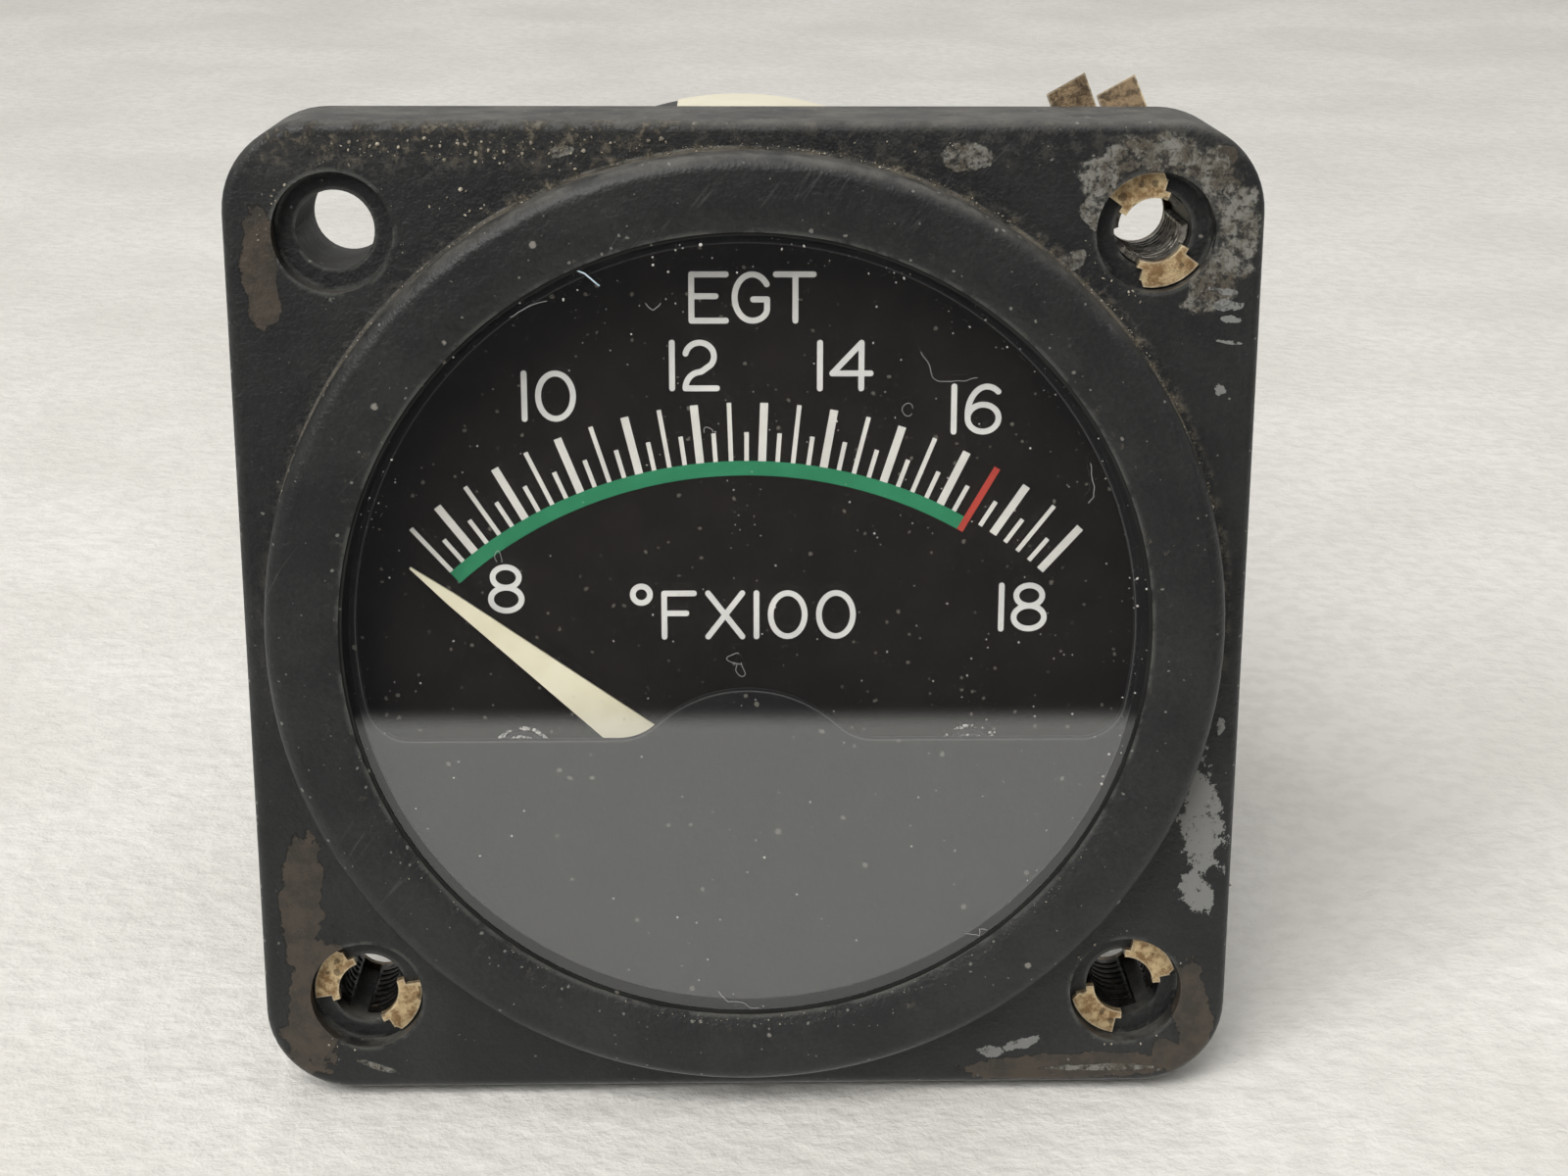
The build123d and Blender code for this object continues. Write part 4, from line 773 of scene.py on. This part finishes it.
def run_tree(base, tree, name, body, **values):
    """Runs a tree on an object, keeps the result as a plain mesh on a body, and drops the base."""
    modifier = base.modifiers.new(name, "NODES")
    modifier.node_group = tree
    for item in tree.interface.items_tree:
        key = item.name.replace(" ", "_").lower()
        if item.item_type == "SOCKET" and item.in_out == "INPUT" and key in values:
            modifier[item.identifier] = values[key]
    view = bpy.context.evaluated_depsgraph_get()
    mesh = bpy.data.meshes.new_from_object(base.evaluated_get(view))
    mesh.name = name
    bpy.data.objects.remove(base)
    piece = bpy.data.objects.new(name, mesh)
    scene.collection.objects.link(piece)
    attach(piece, body)
    print(name, len(mesh.polygons), "faces")
    return piece


def line_object(name, lines):
    """A curve object with one straight-run spline for each line of 2-D or 3-D points."""
    data = bpy.data.curves.new(name, "CURVE")
    data.dimensions = "3D"
    for line in lines:
        spline = data.splines.new("POLY")
        spline.points.add(len(line) - 1)
        for target, point in zip(spline.points, line):
            target.co = (*point, 0.0, 1.0) if len(point) == 2 else (*point, 1.0)
    holder = bpy.data.objects.new(name, data)
    scene.collection.objects.link(holder)
    return holder


print("tree helpers ready")

# %% [markdown]
# The pen tree works in the XY plane, where the glyphs are drawn, and stands the paint up at the end.
# Lines lie in eight layers by turns, and each point along a line lies a little further forward than
# the last. So a line that crosses another, or meets its own start, never shares a face with it.

# %% Pen strokes tree
LAYERS = 8.0
LAYER_STEP = 0.002 * MM
pen_tree, given = geometry_tree("pen_strokes", {
    "Stroke Width": 0.35 * MM, "Paint Depth": 0.04 * MM, "Face Depth": DIAL_Y})
tree = pen_tree
width, paint_depth = given["Stroke Width"], given["Paint Depth"]
line_number = add_node(tree, "GeometryNodeCurveOfPoint").outputs["Curve Index"]
along = add_node(tree, "GeometryNodeSplineParameter").outputs["Factor"]
layer = plus(tree, times(tree, maths(tree, "MODULO", line_number, LAYERS), LAYER_STEP),
             times(tree, along, LAYER_STEP / 4))
raised = add_node(tree, "ShaderNodeCombineXYZ", {"Z": layer})
layered = add_node(tree, "GeometryNodeSetPosition",
                   {"Geometry": given["Geometry"], "Offset": raised.outputs["Vector"]}).outputs["Geometry"]
upright = add_node(tree, "GeometryNodeSetCurveNormal", {"Curve": layered}, mode="Z_UP")
bar = add_node(tree, "GeometryNodeCurvePrimitiveQuadrilateral", {"Width": width, "Height": paint_depth})
swept = add_node(tree, "GeometryNodeCurveToMesh", {
    "Curve": upright.outputs["Curve"], "Profile Curve": bar.outputs["Curve"], "Fill Caps": True})
flat_bars = add_node(tree, "GeometryNodeSetShadeSmooth",
                     {"Geometry": swept.outputs["Mesh"], "Shade Smooth": False})
ends = add_node(tree, "GeometryNodeCurveEndpointSelection", {"Start Size": 1, "End Size": 1})
disc = add_node(tree, "GeometryNodeMeshCylinder", {
    "Vertices": 20, "Radius": times(tree, width, 0.5), "Depth": plus(tree, paint_depth, LAYER_STEP)})
caps = add_node(tree, "GeometryNodeInstanceOnPoints", {
    "Points": layered, "Selection": ends.outputs["Selection"], "Instance": disc.outputs["Mesh"]})
joined = tree.nodes.new("GeometryNodeJoinGeometry")
tree.links.new(flat_bars.outputs["Geometry"], joined.inputs["Geometry"])
tree.links.new(caps.outputs["Instances"], joined.inputs["Geometry"])
lifted = minus(tree, given["Face Depth"], times(tree, paint_depth, 0.4))
place_on_face = add_node(tree, "ShaderNodeCombineXYZ", {"Y": lifted})
stood = add_node(tree, "GeometryNodeTransform", {
    "Geometry": joined.outputs["Geometry"], "Translation": place_on_face.outputs["Vector"],
    "Rotation": (math.pi / 2, 0, 0)})
finish_tree(tree, stood.outputs["Geometry"], given)

# %% Lettering on the dial
ink_white = matte_paint("ink_white", (0.66, 0.66, 0.64), (0.76, 0.76, 0.73), 0.05, 0.6)
dial_lettering = run_tree(line_object("dial_lettering_lines", lettering), pen_tree, "dial_lettering",
                          "instrument", material=ink_white)

# %% [markdown]
# ## Dust, grit and threads
# Dust sticks to the pane and grit fills the corners of the flange. One Geometry Nodes tree scatters
# crumbs over a base surface, thicker where a noise says so. Most crumbs are small and a few are
# large, so a random number is raised to the fourth power before it sets the size.


# %% Scattered crumbs tree
def random_number(tree, seed):
    """A random number between 0 and 1 for each point."""
    limits = {2: 0.0, 3: 1.0, "Seed": seed}
    return add_node(tree, "FunctionNodeRandomValue", limits, data_type="FLOAT").outputs[1]


def random_vector(tree, low, high, seed):
    """A random vector for each point, with every part between two numbers."""
    limits = {0: (low, low, low), 1: (high, high, high), "Seed": seed}
    return add_node(tree, "FunctionNodeRandomValue", limits, data_type="FLOAT_VECTOR").outputs[0]


# About a full turn, in radians
FULL_TURN = 6.28
crumb_tree, given = geometry_tree("scattered_crumbs", {
    "Density": 4.0e5, "Clump Scale": 300.0, "Clump Start": 0.5,
    "Smallest": 0.012 * MM, "Largest": 0.08 * MM, "Seed": 1})
tree = crumb_tree
where = tree.nodes.new("GeometryNodeInputPosition").outputs["Position"]
clumps = noise(tree, where, given["Clump Scale"], 4.0, 0.7)
share = remap(tree, clumps, given["Clump Start"], plus(tree, given["Clump Start"], 0.12), 0.05, 1.0)
points = add_node(tree, "GeometryNodeDistributePointsOnFaces", {
    "Mesh": given["Geometry"], "Density": times(tree, given["Density"], share), "Seed": given["Seed"]})
chance = maths(tree, "POWER", random_number(tree, given["Seed"]), 4.0)
spread = minus(tree, given["Largest"], given["Smallest"])
size = plus(tree, given["Smallest"], times(tree, spread, chance))
shape = random_vector(tree, 0.5, 1.5, plus(tree, given["Seed"], 1.0))
turn = random_vector(tree, 0.0, FULL_TURN, given["Seed"])
crumb = add_node(tree, "GeometryNodeMeshIcoSphere", {"Radius": 1.0, "Subdivisions": 1})
laid = add_node(tree, "GeometryNodeInstanceOnPoints", {
    "Points": points.outputs["Points"], "Instance": crumb.outputs["Mesh"], "Rotation": turn,
    "Scale": scaled(tree, shape, size)})
finish_tree(tree, laid.outputs["Instances"], given)

# %% [markdown]
# A second tree sweeps a thin round rod along given lines. With some wiggle it makes lint on the
# glass, and without it the threads of the studs and clip nuts.

# %% Swept rods tree
rod_tree, given = geometry_tree(
    "swept_rods", {"Thickness": 0.06 * MM, "Wiggle": 0.0, "Sides": 6, "Seed": 1})
tree = rod_tree
where = tree.nodes.new("GeometryNodeInputPosition").outputs["Position"]
bends = add_node(tree, "ShaderNodeTexNoise", {
    "Vector": where, "Scale": 900.0, "Detail": 1.0, "W": given["Seed"]}, noise_dimensions="4D")
centred = vector_maths(tree, "SUBTRACT", bends.outputs["Color"], (0.5, 0.5, 0.5))
in_plane = vector_maths(tree, "MULTIPLY", centred, (1.0, 0.0, 1.0))
bent = add_node(tree, "GeometryNodeSetPosition", {
    "Geometry": given["Geometry"], "Offset": scaled(tree, in_plane, given["Wiggle"])})
profile = add_node(tree, "GeometryNodeCurvePrimitiveCircle", {
    "Resolution": given["Sides"], "Radius": times(tree, given["Thickness"], 0.5)})
rods = add_node(tree, "GeometryNodeCurveToMesh", {
    "Curve": bent.outputs["Geometry"], "Profile Curve": profile.outputs["Curve"], "Fill Caps": True})
finish_tree(tree, rods.outputs["Mesh"], given)

# %% [markdown]
# The crumbs need surfaces to lie on. Most are rings or parts of rings, round the glass, the holes and
# the ring's foot, and three are plates on the flange's top edge. They lie a hair in front of the
# solids, and are dropped once the crumbs are made.


# %% Base surfaces
CLEAR = 0.01


def arc_strips(name, strips, plates=(), steps=36):
    """A base surface, in millimetres.

    Strips: centre x and z, start and end angle, inner and outer edge as (radius, depth).
    Plates: x and z of each corner, in front of the flange.
    """
    corners, faces = [], []
    for x, z, start, end, inner, outer in strips:
        first = len(corners)
        for i in range(steps + 1):
            turn = math.radians(start + (end - start) * i / steps)
            across, upward = math.cos(turn), math.sin(turn)
            corners += [((x + radius * across) * MM, y * MM, (z + radius * upward) * MM)
                        for radius, y in (inner, outer)]
        faces += [tuple(first + 2 * i + step for step in (0, 1, 3, 2)) for i in range(steps)]
    for plate in plates:
        faces.append(tuple(range(len(corners), len(corners) + len(plate))))
        corners += [(x * MM, -CLEAR * MM, z * MM) for x, z in plate]
    mesh = bpy.data.meshes.new(name)
    mesh.from_pydata(corners, [], faces)
    base = bpy.data.objects.new(name, mesh)
    scene.collection.objects.link(base)
    return base


def flat_strip(x, z, start, end, inner, outer, y):
    """A strip that lies at one depth."""
    return x, z, start, end, (inner, y), (outer, y)


pale_dust = matte_paint("pale_dust", (0.42, 0.41, 0.38), (0.66, 0.64, 0.60), 0.0, 0.9)
tan_grit = matte_paint("tan_grit", (0.13, 0.115, 0.09), (0.44, 0.40, 0.32), 0.0, 0.9, mottle=1500.0)
print("dust colours", pale_dust.name, tan_grit.name)

# %% Dust on the pane
glass_top = GLASS_Y / MM - CLEAR
pane_strips = [flat_strip(0, 0, 0, 360, 0.5, 23.9, glass_top)]
run_tree(arc_strips("pane", pane_strips), crumb_tree, "glass_dust", "instrument", density=1.5e6,
         clump_scale=220.0, clump_start=0.50, largest=0.062 * MM, seed=4, material=pale_dust)
rim_strips = [
    flat_strip(0, 0, 20, 170, 22.6, 24.0, glass_top), flat_strip(0, 0, -60, 20, 22.9, 24.0, glass_top)]
run_tree(arc_strips("pane_rim", rim_strips), crumb_tree, "rim_dust", "instrument", density=7.0e6,
         clump_scale=420.0, clump_start=0.52, largest=0.09 * MM, seed=9, material=pale_dust)

# %% Grit on the flange and ring
half_mm = half_hole / MM
corner_strips = [
    flat_strip(-half_mm, half_mm, -60, 210, 3.55, 4.3, -CLEAR),
    flat_strip(-half_mm, -half_mm, 230, 310, 3.55, 4.2, -CLEAR),
    flat_strip(half_mm, -half_mm, 20, 330, 3.55, 3.9, -CLEAR),
    flat_strip(half_mm, half_mm, 150, 290, 3.55, 4.2, -CLEAR)]
top_edge_plates = [
    ((-25.0, 28.2), (-24.5, 29.2), (-4.0, 29.3), (-5.0, 28.6), (-14.0, 27.6)),
    ((-14.0, 27.6), (-8.0, 28.0), (-13.0, 26.4), (-18.4, 23.2), (-18.4, 26.5)),
    ((4.0, 29.3), (5.5, 28.8), (13.0, 27.2), (17.0, 26.4), (17.5, 29.3))]
run_tree(arc_strips("corners", corner_strips, top_edge_plates), crumb_tree, "flange_grit", "instrument",
         density=1.3e7, clump_scale=260.0, clump_start=0.50, largest=0.13 * MM, seed=3, material=tan_grit)
foot_strips = [
    flat_strip(0, 0, 12, 105, 28.62, 28.95, -CLEAR), flat_strip(0, 0, 105, 372, 28.62, 28.78, -CLEAR)]
run_tree(arc_strips("foot", foot_strips), crumb_tree, "foot_grit", "instrument", density=4.5e7,
         clump_scale=200.0, clump_start=0.40, largest=0.075 * MM, seed=6, material=tan_grit)
slope_strips = [
    (0, 0, 190, 255, (24.3, -2.48), (25.5, -2.73)), (0, 0, 255, 330, (24.3, -2.48), (24.9, -2.65))]
run_tree(arc_strips("cone", slope_strips), crumb_tree, "ring_sand", "instrument", density=3.2e7,
         clump_scale=260.0, clump_start=0.45, smallest=0.008 * MM, largest=0.055 * MM, seed=5,
         material=tan_grit)

# %% Dust round the dial screws, with pale crumbs on their rims as a painted highlight
screw_low, screw_high = part_box("dial_screws")
SCREW_HEAD_R = 1.65
screw_x = screw_high.x / MM - SCREW_HEAD_R
screw_z = (screw_low.z + screw_high.z) / 2 / MM
head_y = screw_low.y / MM - CLEAR
face_y = DIAL_Y / MM - 2 * CLEAR
round_heads = [flat_strip(side * screw_x, screw_z, 25, 155, SCREW_HEAD_R + 0.1, SCREW_HEAD_R + 0.3, face_y)
               for side in (-1, 1)]
# Crumbs on the heads' rims are dust and also a painted highlight along the black heads' edges
rim_dust_and_highlight = [flat_strip(side * screw_x, screw_z, 40, 140, SCREW_HEAD_R - 0.15, SCREW_HEAD_R - 0.05, head_y)
            for side in (-1, 1)]
run_tree(arc_strips("screw_rims", round_heads + rim_dust_and_highlight), crumb_tree, "screw_dust", "instrument",
         density=3.6e8, clump_scale=900.0, clump_start=0.42, smallest=0.02 * MM, largest=0.11 * MM, seed=2,
         material=pale_dust)

# %% [markdown]
# Lint lies loose on the glass: eleven short pale hairs, curled or bent, and one blue fibre near the
# upper left. Each is a line of points that the rod tree bends and thickens.


# %% Lint on the glass
def on_pane(points, lift=0.05):
    """Points given as x and z in millimetres, just in front of the glass."""
    return [(x * MM, GLASS_Y - lift * MM, z * MM) for x, z in points]


def between(points, steps=10):
    """More points along straight runs, so that a rod can bend between them."""
    runs = []
    for (x0, z0), (x1, z1) in zip(points, points[1:]):
        runs += [(x0 + (x1 - x0) * i / steps, z0 + (z1 - z0) * i / steps) for i in range(steps)]
    return runs + [points[-1]]


LINT = (
    bow(9.4, 13.8, 0.26, 0.30, 20, 340), bow(-0.7, -1.2, 0.50, 0.32, 60, 330),
    bow(-0.55, -1.75, 0.28, 0.42, 150, 420), bow(-14.7, 5.05, 0.33, 0.42, -30, 250),
    between([(-1.8, -22.6), (-1.2, -23.3), (0.7, -23.7)]),
    between([(13.4, -19.0), (14.2, -19.1), (14.1, -18.5), (14.8, -18.6)]),
    between([(-13.6, 19.4), (-12.6, 19.9), (-11.6, 20.3)]),
    between([(10.1, 17.2), (10.9, 15.9), (12.4, 15.6), (13.4, 15.7)]), bow(-5.3, 20.2, 0.5, 0.3, 200, 350),
    bow(-2.1, 12.6, 0.3, 0.25, 0, 200), between([(20.1, 10.6), (20.4, 9.2), (20.0, 8.1)]),
)
BLUE_FIBRE = between([(-9.97, 22.1), (-9.2, 21.8), (-8.4, 21.1)])
pale_lint = matte_paint("pale_lint", (0.30, 0.31, 0.31), (0.50, 0.50, 0.48), 0.0, 0.9)
blue_lint = matte_paint("blue_lint", (0.42, 0.56, 0.66), (0.60, 0.72, 0.80), 0.0, 0.8)
run_tree(line_object("lint_lines", [on_pane(line) for line in LINT]), rod_tree, "lint", "instrument",
         thickness=0.035 * MM, wiggle=1.1 * MM, sides=5, seed=7, material=pale_lint)
run_tree(line_object("fibre_line", [on_pane(BLUE_FIBRE)]), rod_tree, "blue_fibre", "instrument",
         thickness=0.09 * MM, wiggle=0.1 * MM, sides=6, seed=1, material=blue_lint)

# %% [markdown]
# A thread is a helix, and from outside only its crests are seen. One turn is one line whose depth
# grows by the pitch. In the clip nuts, whose barrels are split, each turn is two arcs with a gap
# between them.


# %% Lines of the threads
def turn_lines(x, z, radius, y_first, y_last, pitch, arcs):
    """Turns of a thread as arcs, sizes in millimetres. Each arc is a start and end angle in degrees."""
    lines = []
    for i in range(int((y_last - y_first) / pitch) + 1):
        for start, end in arcs:
            rise = pitch * (end - start) / 360 / ARC_STEPS
            lines.append([((x + u) * MM, (y_first + i * pitch + step * rise) * MM, (z + v) * MM)
                          for step, (u, v) in enumerate(bow(0, 0, radius, radius, start, end))])
    return lines


# Each clip nut: side in x and z, and the direction of its tail in degrees
CLIP_TAILS = ((1, 1, 110.0), (-1, -1, -25.0), (1, -1, 46.0))
CLIP_BORE_R = 1.87
CLIP_THREAD_START, CLIP_THREAD_END, CLIP_PITCH = 2.8, 9.2, 0.8
HALF_ARC = 66
clip_turns = []
for side_x, side_z, tail in CLIP_TAILS:
    halves = [(middle - HALF_ARC, middle + HALF_ARC) for middle in (tail, tail + 180)]
    clip_turns += turn_lines(side_x * half_mm, side_z * half_mm, CLIP_BORE_R, CLIP_THREAD_START,
                             CLIP_THREAD_END, CLIP_PITCH, halves)

# Each stud: name, radius and pitch
STUDS = (("alumel_stud", 2.4, 0.8), ("chromel_stud", 2.08, 0.7))
CREST_SINK = 0.04
GAP_AFTER_NUT = 0.2
PLAIN_TIP = 1.0
nut_rear = part_box("terminal_nuts")[1].y / MM
stud_turns = []
for name, stud_r, pitch in STUDS:
    low, high = part_box(name)
    stud_turns += turn_lines((low.x + high.x) / 2 / MM, (low.z + high.z) / 2 / MM, stud_r - CREST_SINK,
                             nut_rear + GAP_AFTER_NUT, high.y / MM - PLAIN_TIP, pitch, ((0, 360),))
print(len(clip_turns), "arcs in the clip nuts,", len(stud_turns), "turns on the studs")

# %% [markdown]
# ## Glass
# The pane is flat and clean enough to mirror, with dust settled on it. A Principled shader with full
# transmission refracts and mirrors as real glass does. Its index of refraction is higher than plain
# glass has, which makes the mirror image stronger. Light for the dial comes through the pane, so shadow
# rays and diffuse rays pass it as if it were clear.

# %% Glass material
clear_glass, tree, shader = new_material("clear_glass")
feed(tree, shader, Base_Color=(1.0, 1.0, 1.0), Roughness=0.02, IOR=1.75, Transmission_Weight=1.0)
rays = add_node(tree, "ShaderNodeLightPath").outputs
clear = add_node(tree, "ShaderNodeBsdfTransparent", {"Color": (1.0, 1.0, 1.0)})
show_either(tree, most(tree, rays["Is Shadow Ray"], rays["Is Diffuse Ray"]),
            shader.outputs["BSDF"], clear.outputs["BSDF"])
dress(clear_glass, "glass")

# %% [markdown]
# ## Metals inside and behind
# Brass bridges, soft iron, ground magnet steel and screws share one recipe: a metal whose grain is
# stretched noise, with slow clouds in its tone and shine.


# %% Metals
def brushed_metal(name, first, second, roughness, grain_axis):
    """A metal in two close tones with brushed grain along one axis (0, 1 or 2)."""
    material, tree, shader = new_material(name)
    point = object_point(tree)
    stretch = [1.0, 1.0, 1.0]
    stretch[grain_axis] = 0.04
    grain = noise(tree, vector_maths(tree, "MULTIPLY", point, tuple(stretch)), 2600.0, 3.0, 0.6)
    clouds = noise(tree, point, 350.0, 6.0, 0.65)
    feed(tree, shader, Base_Color=blend(tree, remap(tree, clouds, 0.35, 0.65), first, second),
         Metallic=1.0, Roughness=plus(tree, roughness, times(tree, clouds, 0.18)),
         Normal=bumped(tree, grain, 0.3, 0.02 * MM))
    return material


brass = brushed_metal("bridge_brass", (0.55, 0.40, 0.17), (0.68, 0.52, 0.25), 0.28, 0)
iron = brushed_metal("soft_iron", (0.30, 0.30, 0.31), (0.42, 0.42, 0.43), 0.35, 1)
magnet_steel = brushed_metal("magnet_steel", (0.20, 0.20, 0.21), (0.30, 0.30, 0.31), 0.3, 1)
bright_steel = brushed_metal("bright_steel", (0.52, 0.52, 0.52), (0.66, 0.66, 0.66), 0.22, 2)
aluminium = brushed_metal("aluminium", (0.62, 0.63, 0.64), (0.75, 0.76, 0.77), 0.32, 2)
bronze = brushed_metal("spring_bronze", (0.52, 0.29, 0.14), (0.62, 0.37, 0.20), 0.25, 0)
dress(brass, "front_bridge", "rear_bridge", "front_regulator", "rear_regulator", "core_clamps",
      "front_jewel_screw", "rear_jewel_screw", "pointer_hub", "balance_weights", "movement_chassis")
dress(iron, "yoke_ring")
dress(magnet_steel, "core_magnet")
dress(bright_steel, "movement_screws", "case_screws", "resistor_screw", "terminal_nuts", "terminal_washers",
      "alumel_stud", "chromel_stud", "front_pivot", "rear_pivot", "pointer_stops")
dress(aluminium, "clamp_ring", "coil_former")
dress(bronze, "front_hairspring", "rear_hairspring")

# %% [markdown]
# ## Clip nuts
# A clip nut is one bent strip of brass, and it has aged unevenly. The lips in front are rubbed and
# tan, and the ears behind the flange have gone brown. The bores carry painted shade, the lower ones most of
# all, and the upper ones pale residue.
# Depth tells which part a point is on, and noise breaks each part into patches.

# %% Clip nuts and their threads
LIPS_REAR = 1.65 * MM
EARS_FRONT = 9.3 * MM
CLIP_FADE = 0.2 * MM
BORE_FADE = 5.0 * MM
clip_brass, tree, shader = new_material("tarnished_clip")
point = object_point(tree)
place = split(tree, point)
lips = remap(tree, place["Y"], LIPS_REAR, LIPS_REAR - CLIP_FADE)
ears = remap(tree, place["Y"], EARS_FRONT, EARS_FRONT + CLIP_FADE)
clouds = noise(tree, point, 1100.0, 8.0, 0.74)
patches = remap(tree, clouds, 0.42, 0.60)
lip_tone = blend(tree, patches, (0.60, 0.455, 0.255), (0.25, 0.15, 0.065))
ear_tone = blend(tree, patches, (0.145, 0.103, 0.060), (0.06, 0.043, 0.027))
# Inside the bores the tone is painted shade, darkest in the lower bores; the upper bores get pale residue
# instead
lower_bore_shade = blend(tree, patches, (0.022, 0.019, 0.016), (0.008, 0.007, 0.006))
upper_tone = blend(tree, patches, (0.34, 0.32, 0.28), (0.09, 0.08, 0.07))
bore_residue_and_shade = blend(tree, remap(tree, place["Z"], -BORE_FADE, BORE_FADE), lower_bore_shade, upper_tone)
colour = blend(tree, lips, blend(tree, ears, bore_residue_and_shade, ear_tone), lip_tone)
edges = place_group(tree, rubbed_edges, Point=point, Radius=0.25 * MM, Amount=0.75)
shown_edges = times(tree, edges, plus(tree, times(tree, lips, 0.8), times(tree, ears, 0.5)))
colour = blend(tree, shown_edges, colour, (0.66, 0.57, 0.41))
pits = place_group(tree, specks, Point=point, Scale=1600.0, Dot_Size=0.5, Amount=0.4)
colour = stain(tree, colour, pits, 0.6, (0.05, 0.035, 0.02))
feed(tree, shader, Base_Color=colour, Metallic=minus(tree, 0.85, times(tree, lips, 0.3)),
     Roughness=plus(tree, 0.30, times(tree, patches, 0.25)), Normal=bumped(tree, clouds, 0.8, 0.2 * MM))
dress(clip_brass, "clip_nuts")
run_tree(line_object("clip_turns", clip_turns), rod_tree, "clip_threads", "instrument",
         thickness=0.16 * MM, sides=6, material=clip_brass)

# %% Threads of the studs and terminal signs
run_tree(line_object("stud_turns", stud_turns), rod_tree, "stud_threads", "instrument",
         thickness=0.26 * MM, sides=6, material=bright_steel)
TERMINAL_X = 9.525
SIGN_HALF = 1.1
SIGN_Z = 8.2
# The pen tree lays paint in front of a face, so this shift brings it behind the case's rear
SIGN_SHIFT = 0.032 * MM
sign_bars = [((x - SIGN_HALF, SIGN_Z), (x + SIGN_HALF, SIGN_Z)) for x in (-TERMINAL_X, TERMINAL_X)]
sign_bars.append(((TERMINAL_X, SIGN_Z - SIGN_HALF), (TERMINAL_X, SIGN_Z + SIGN_HALF)))
signs = [[(x * MM, z * MM) for x, z in sign_bar] for sign_bar in sign_bars]
run_tree(line_object("sign_lines", signs), pen_tree, "terminal_signs", "instrument",
         face_depth=CASE_REAR + SIGN_SHIFT, material=ink_white)

# %% [markdown]
# ## Case, paper, plastics and wire
# The drawn case has a smoother black than the front, and its label is bare cream paper. Bushes and the
# resistor's spool are brown plastic. Windings and woven sleeving show their turns as fine ridges, from
# a wave texture that sets both tone and relief.


# %% Case coating, paper and plastics
def ridged(name, first, second, scale, direction, roughness):
    """A finish with fine parallel ridges, such as wire turns or woven sleeving."""
    material, tree, shader = new_material(name)
    wave = add_node(tree, "ShaderNodeTexWave", {
        "Vector": object_point(tree), "Scale": scale, "Distortion": 0.4, "Detail": 1.0},
        wave_type="BANDS", bands_direction=direction).outputs["Fac"]
    feed(tree, shader, Base_Color=blend(tree, wave, first, second), Roughness=roughness,
         Normal=bumped(tree, wave, 0.7, 0.04 * MM))
    return material


case_black = matte_paint("case_black", (0.014, 0.0145, 0.015), (0.024, 0.024, 0.024), 0.10, 0.42,
                         mottle=90.0)
paper = matte_paint("label_paper", (0.74, 0.68, 0.52), (0.84, 0.79, 0.64), 0.03, 0.8, mottle=60.0)
brown_plastic = matte_paint("brown_plastic", (0.030, 0.018, 0.012), (0.052, 0.034, 0.024), 0.04, 0.4,
                            mottle=80.0)
enamel_wire = ridged("enamel_wire", (0.10, 0.03, 0.012), (0.30, 0.10, 0.04), 1100.0, "Y", 0.3)
sleeving = ridged("woven_sleeving", (0.34, 0.29, 0.18), (0.52, 0.46, 0.31), 600.0, "DIAGONAL", 0.85)
dress(case_black, "case")
dress(paper, "case_label")
dress(brown_plastic, "inner_bushes", "outer_bushes", "resistor_spool")
dress(enamel_wire, "resistor_winding", "coil_winding")
dress(sleeving, "internal_leads")
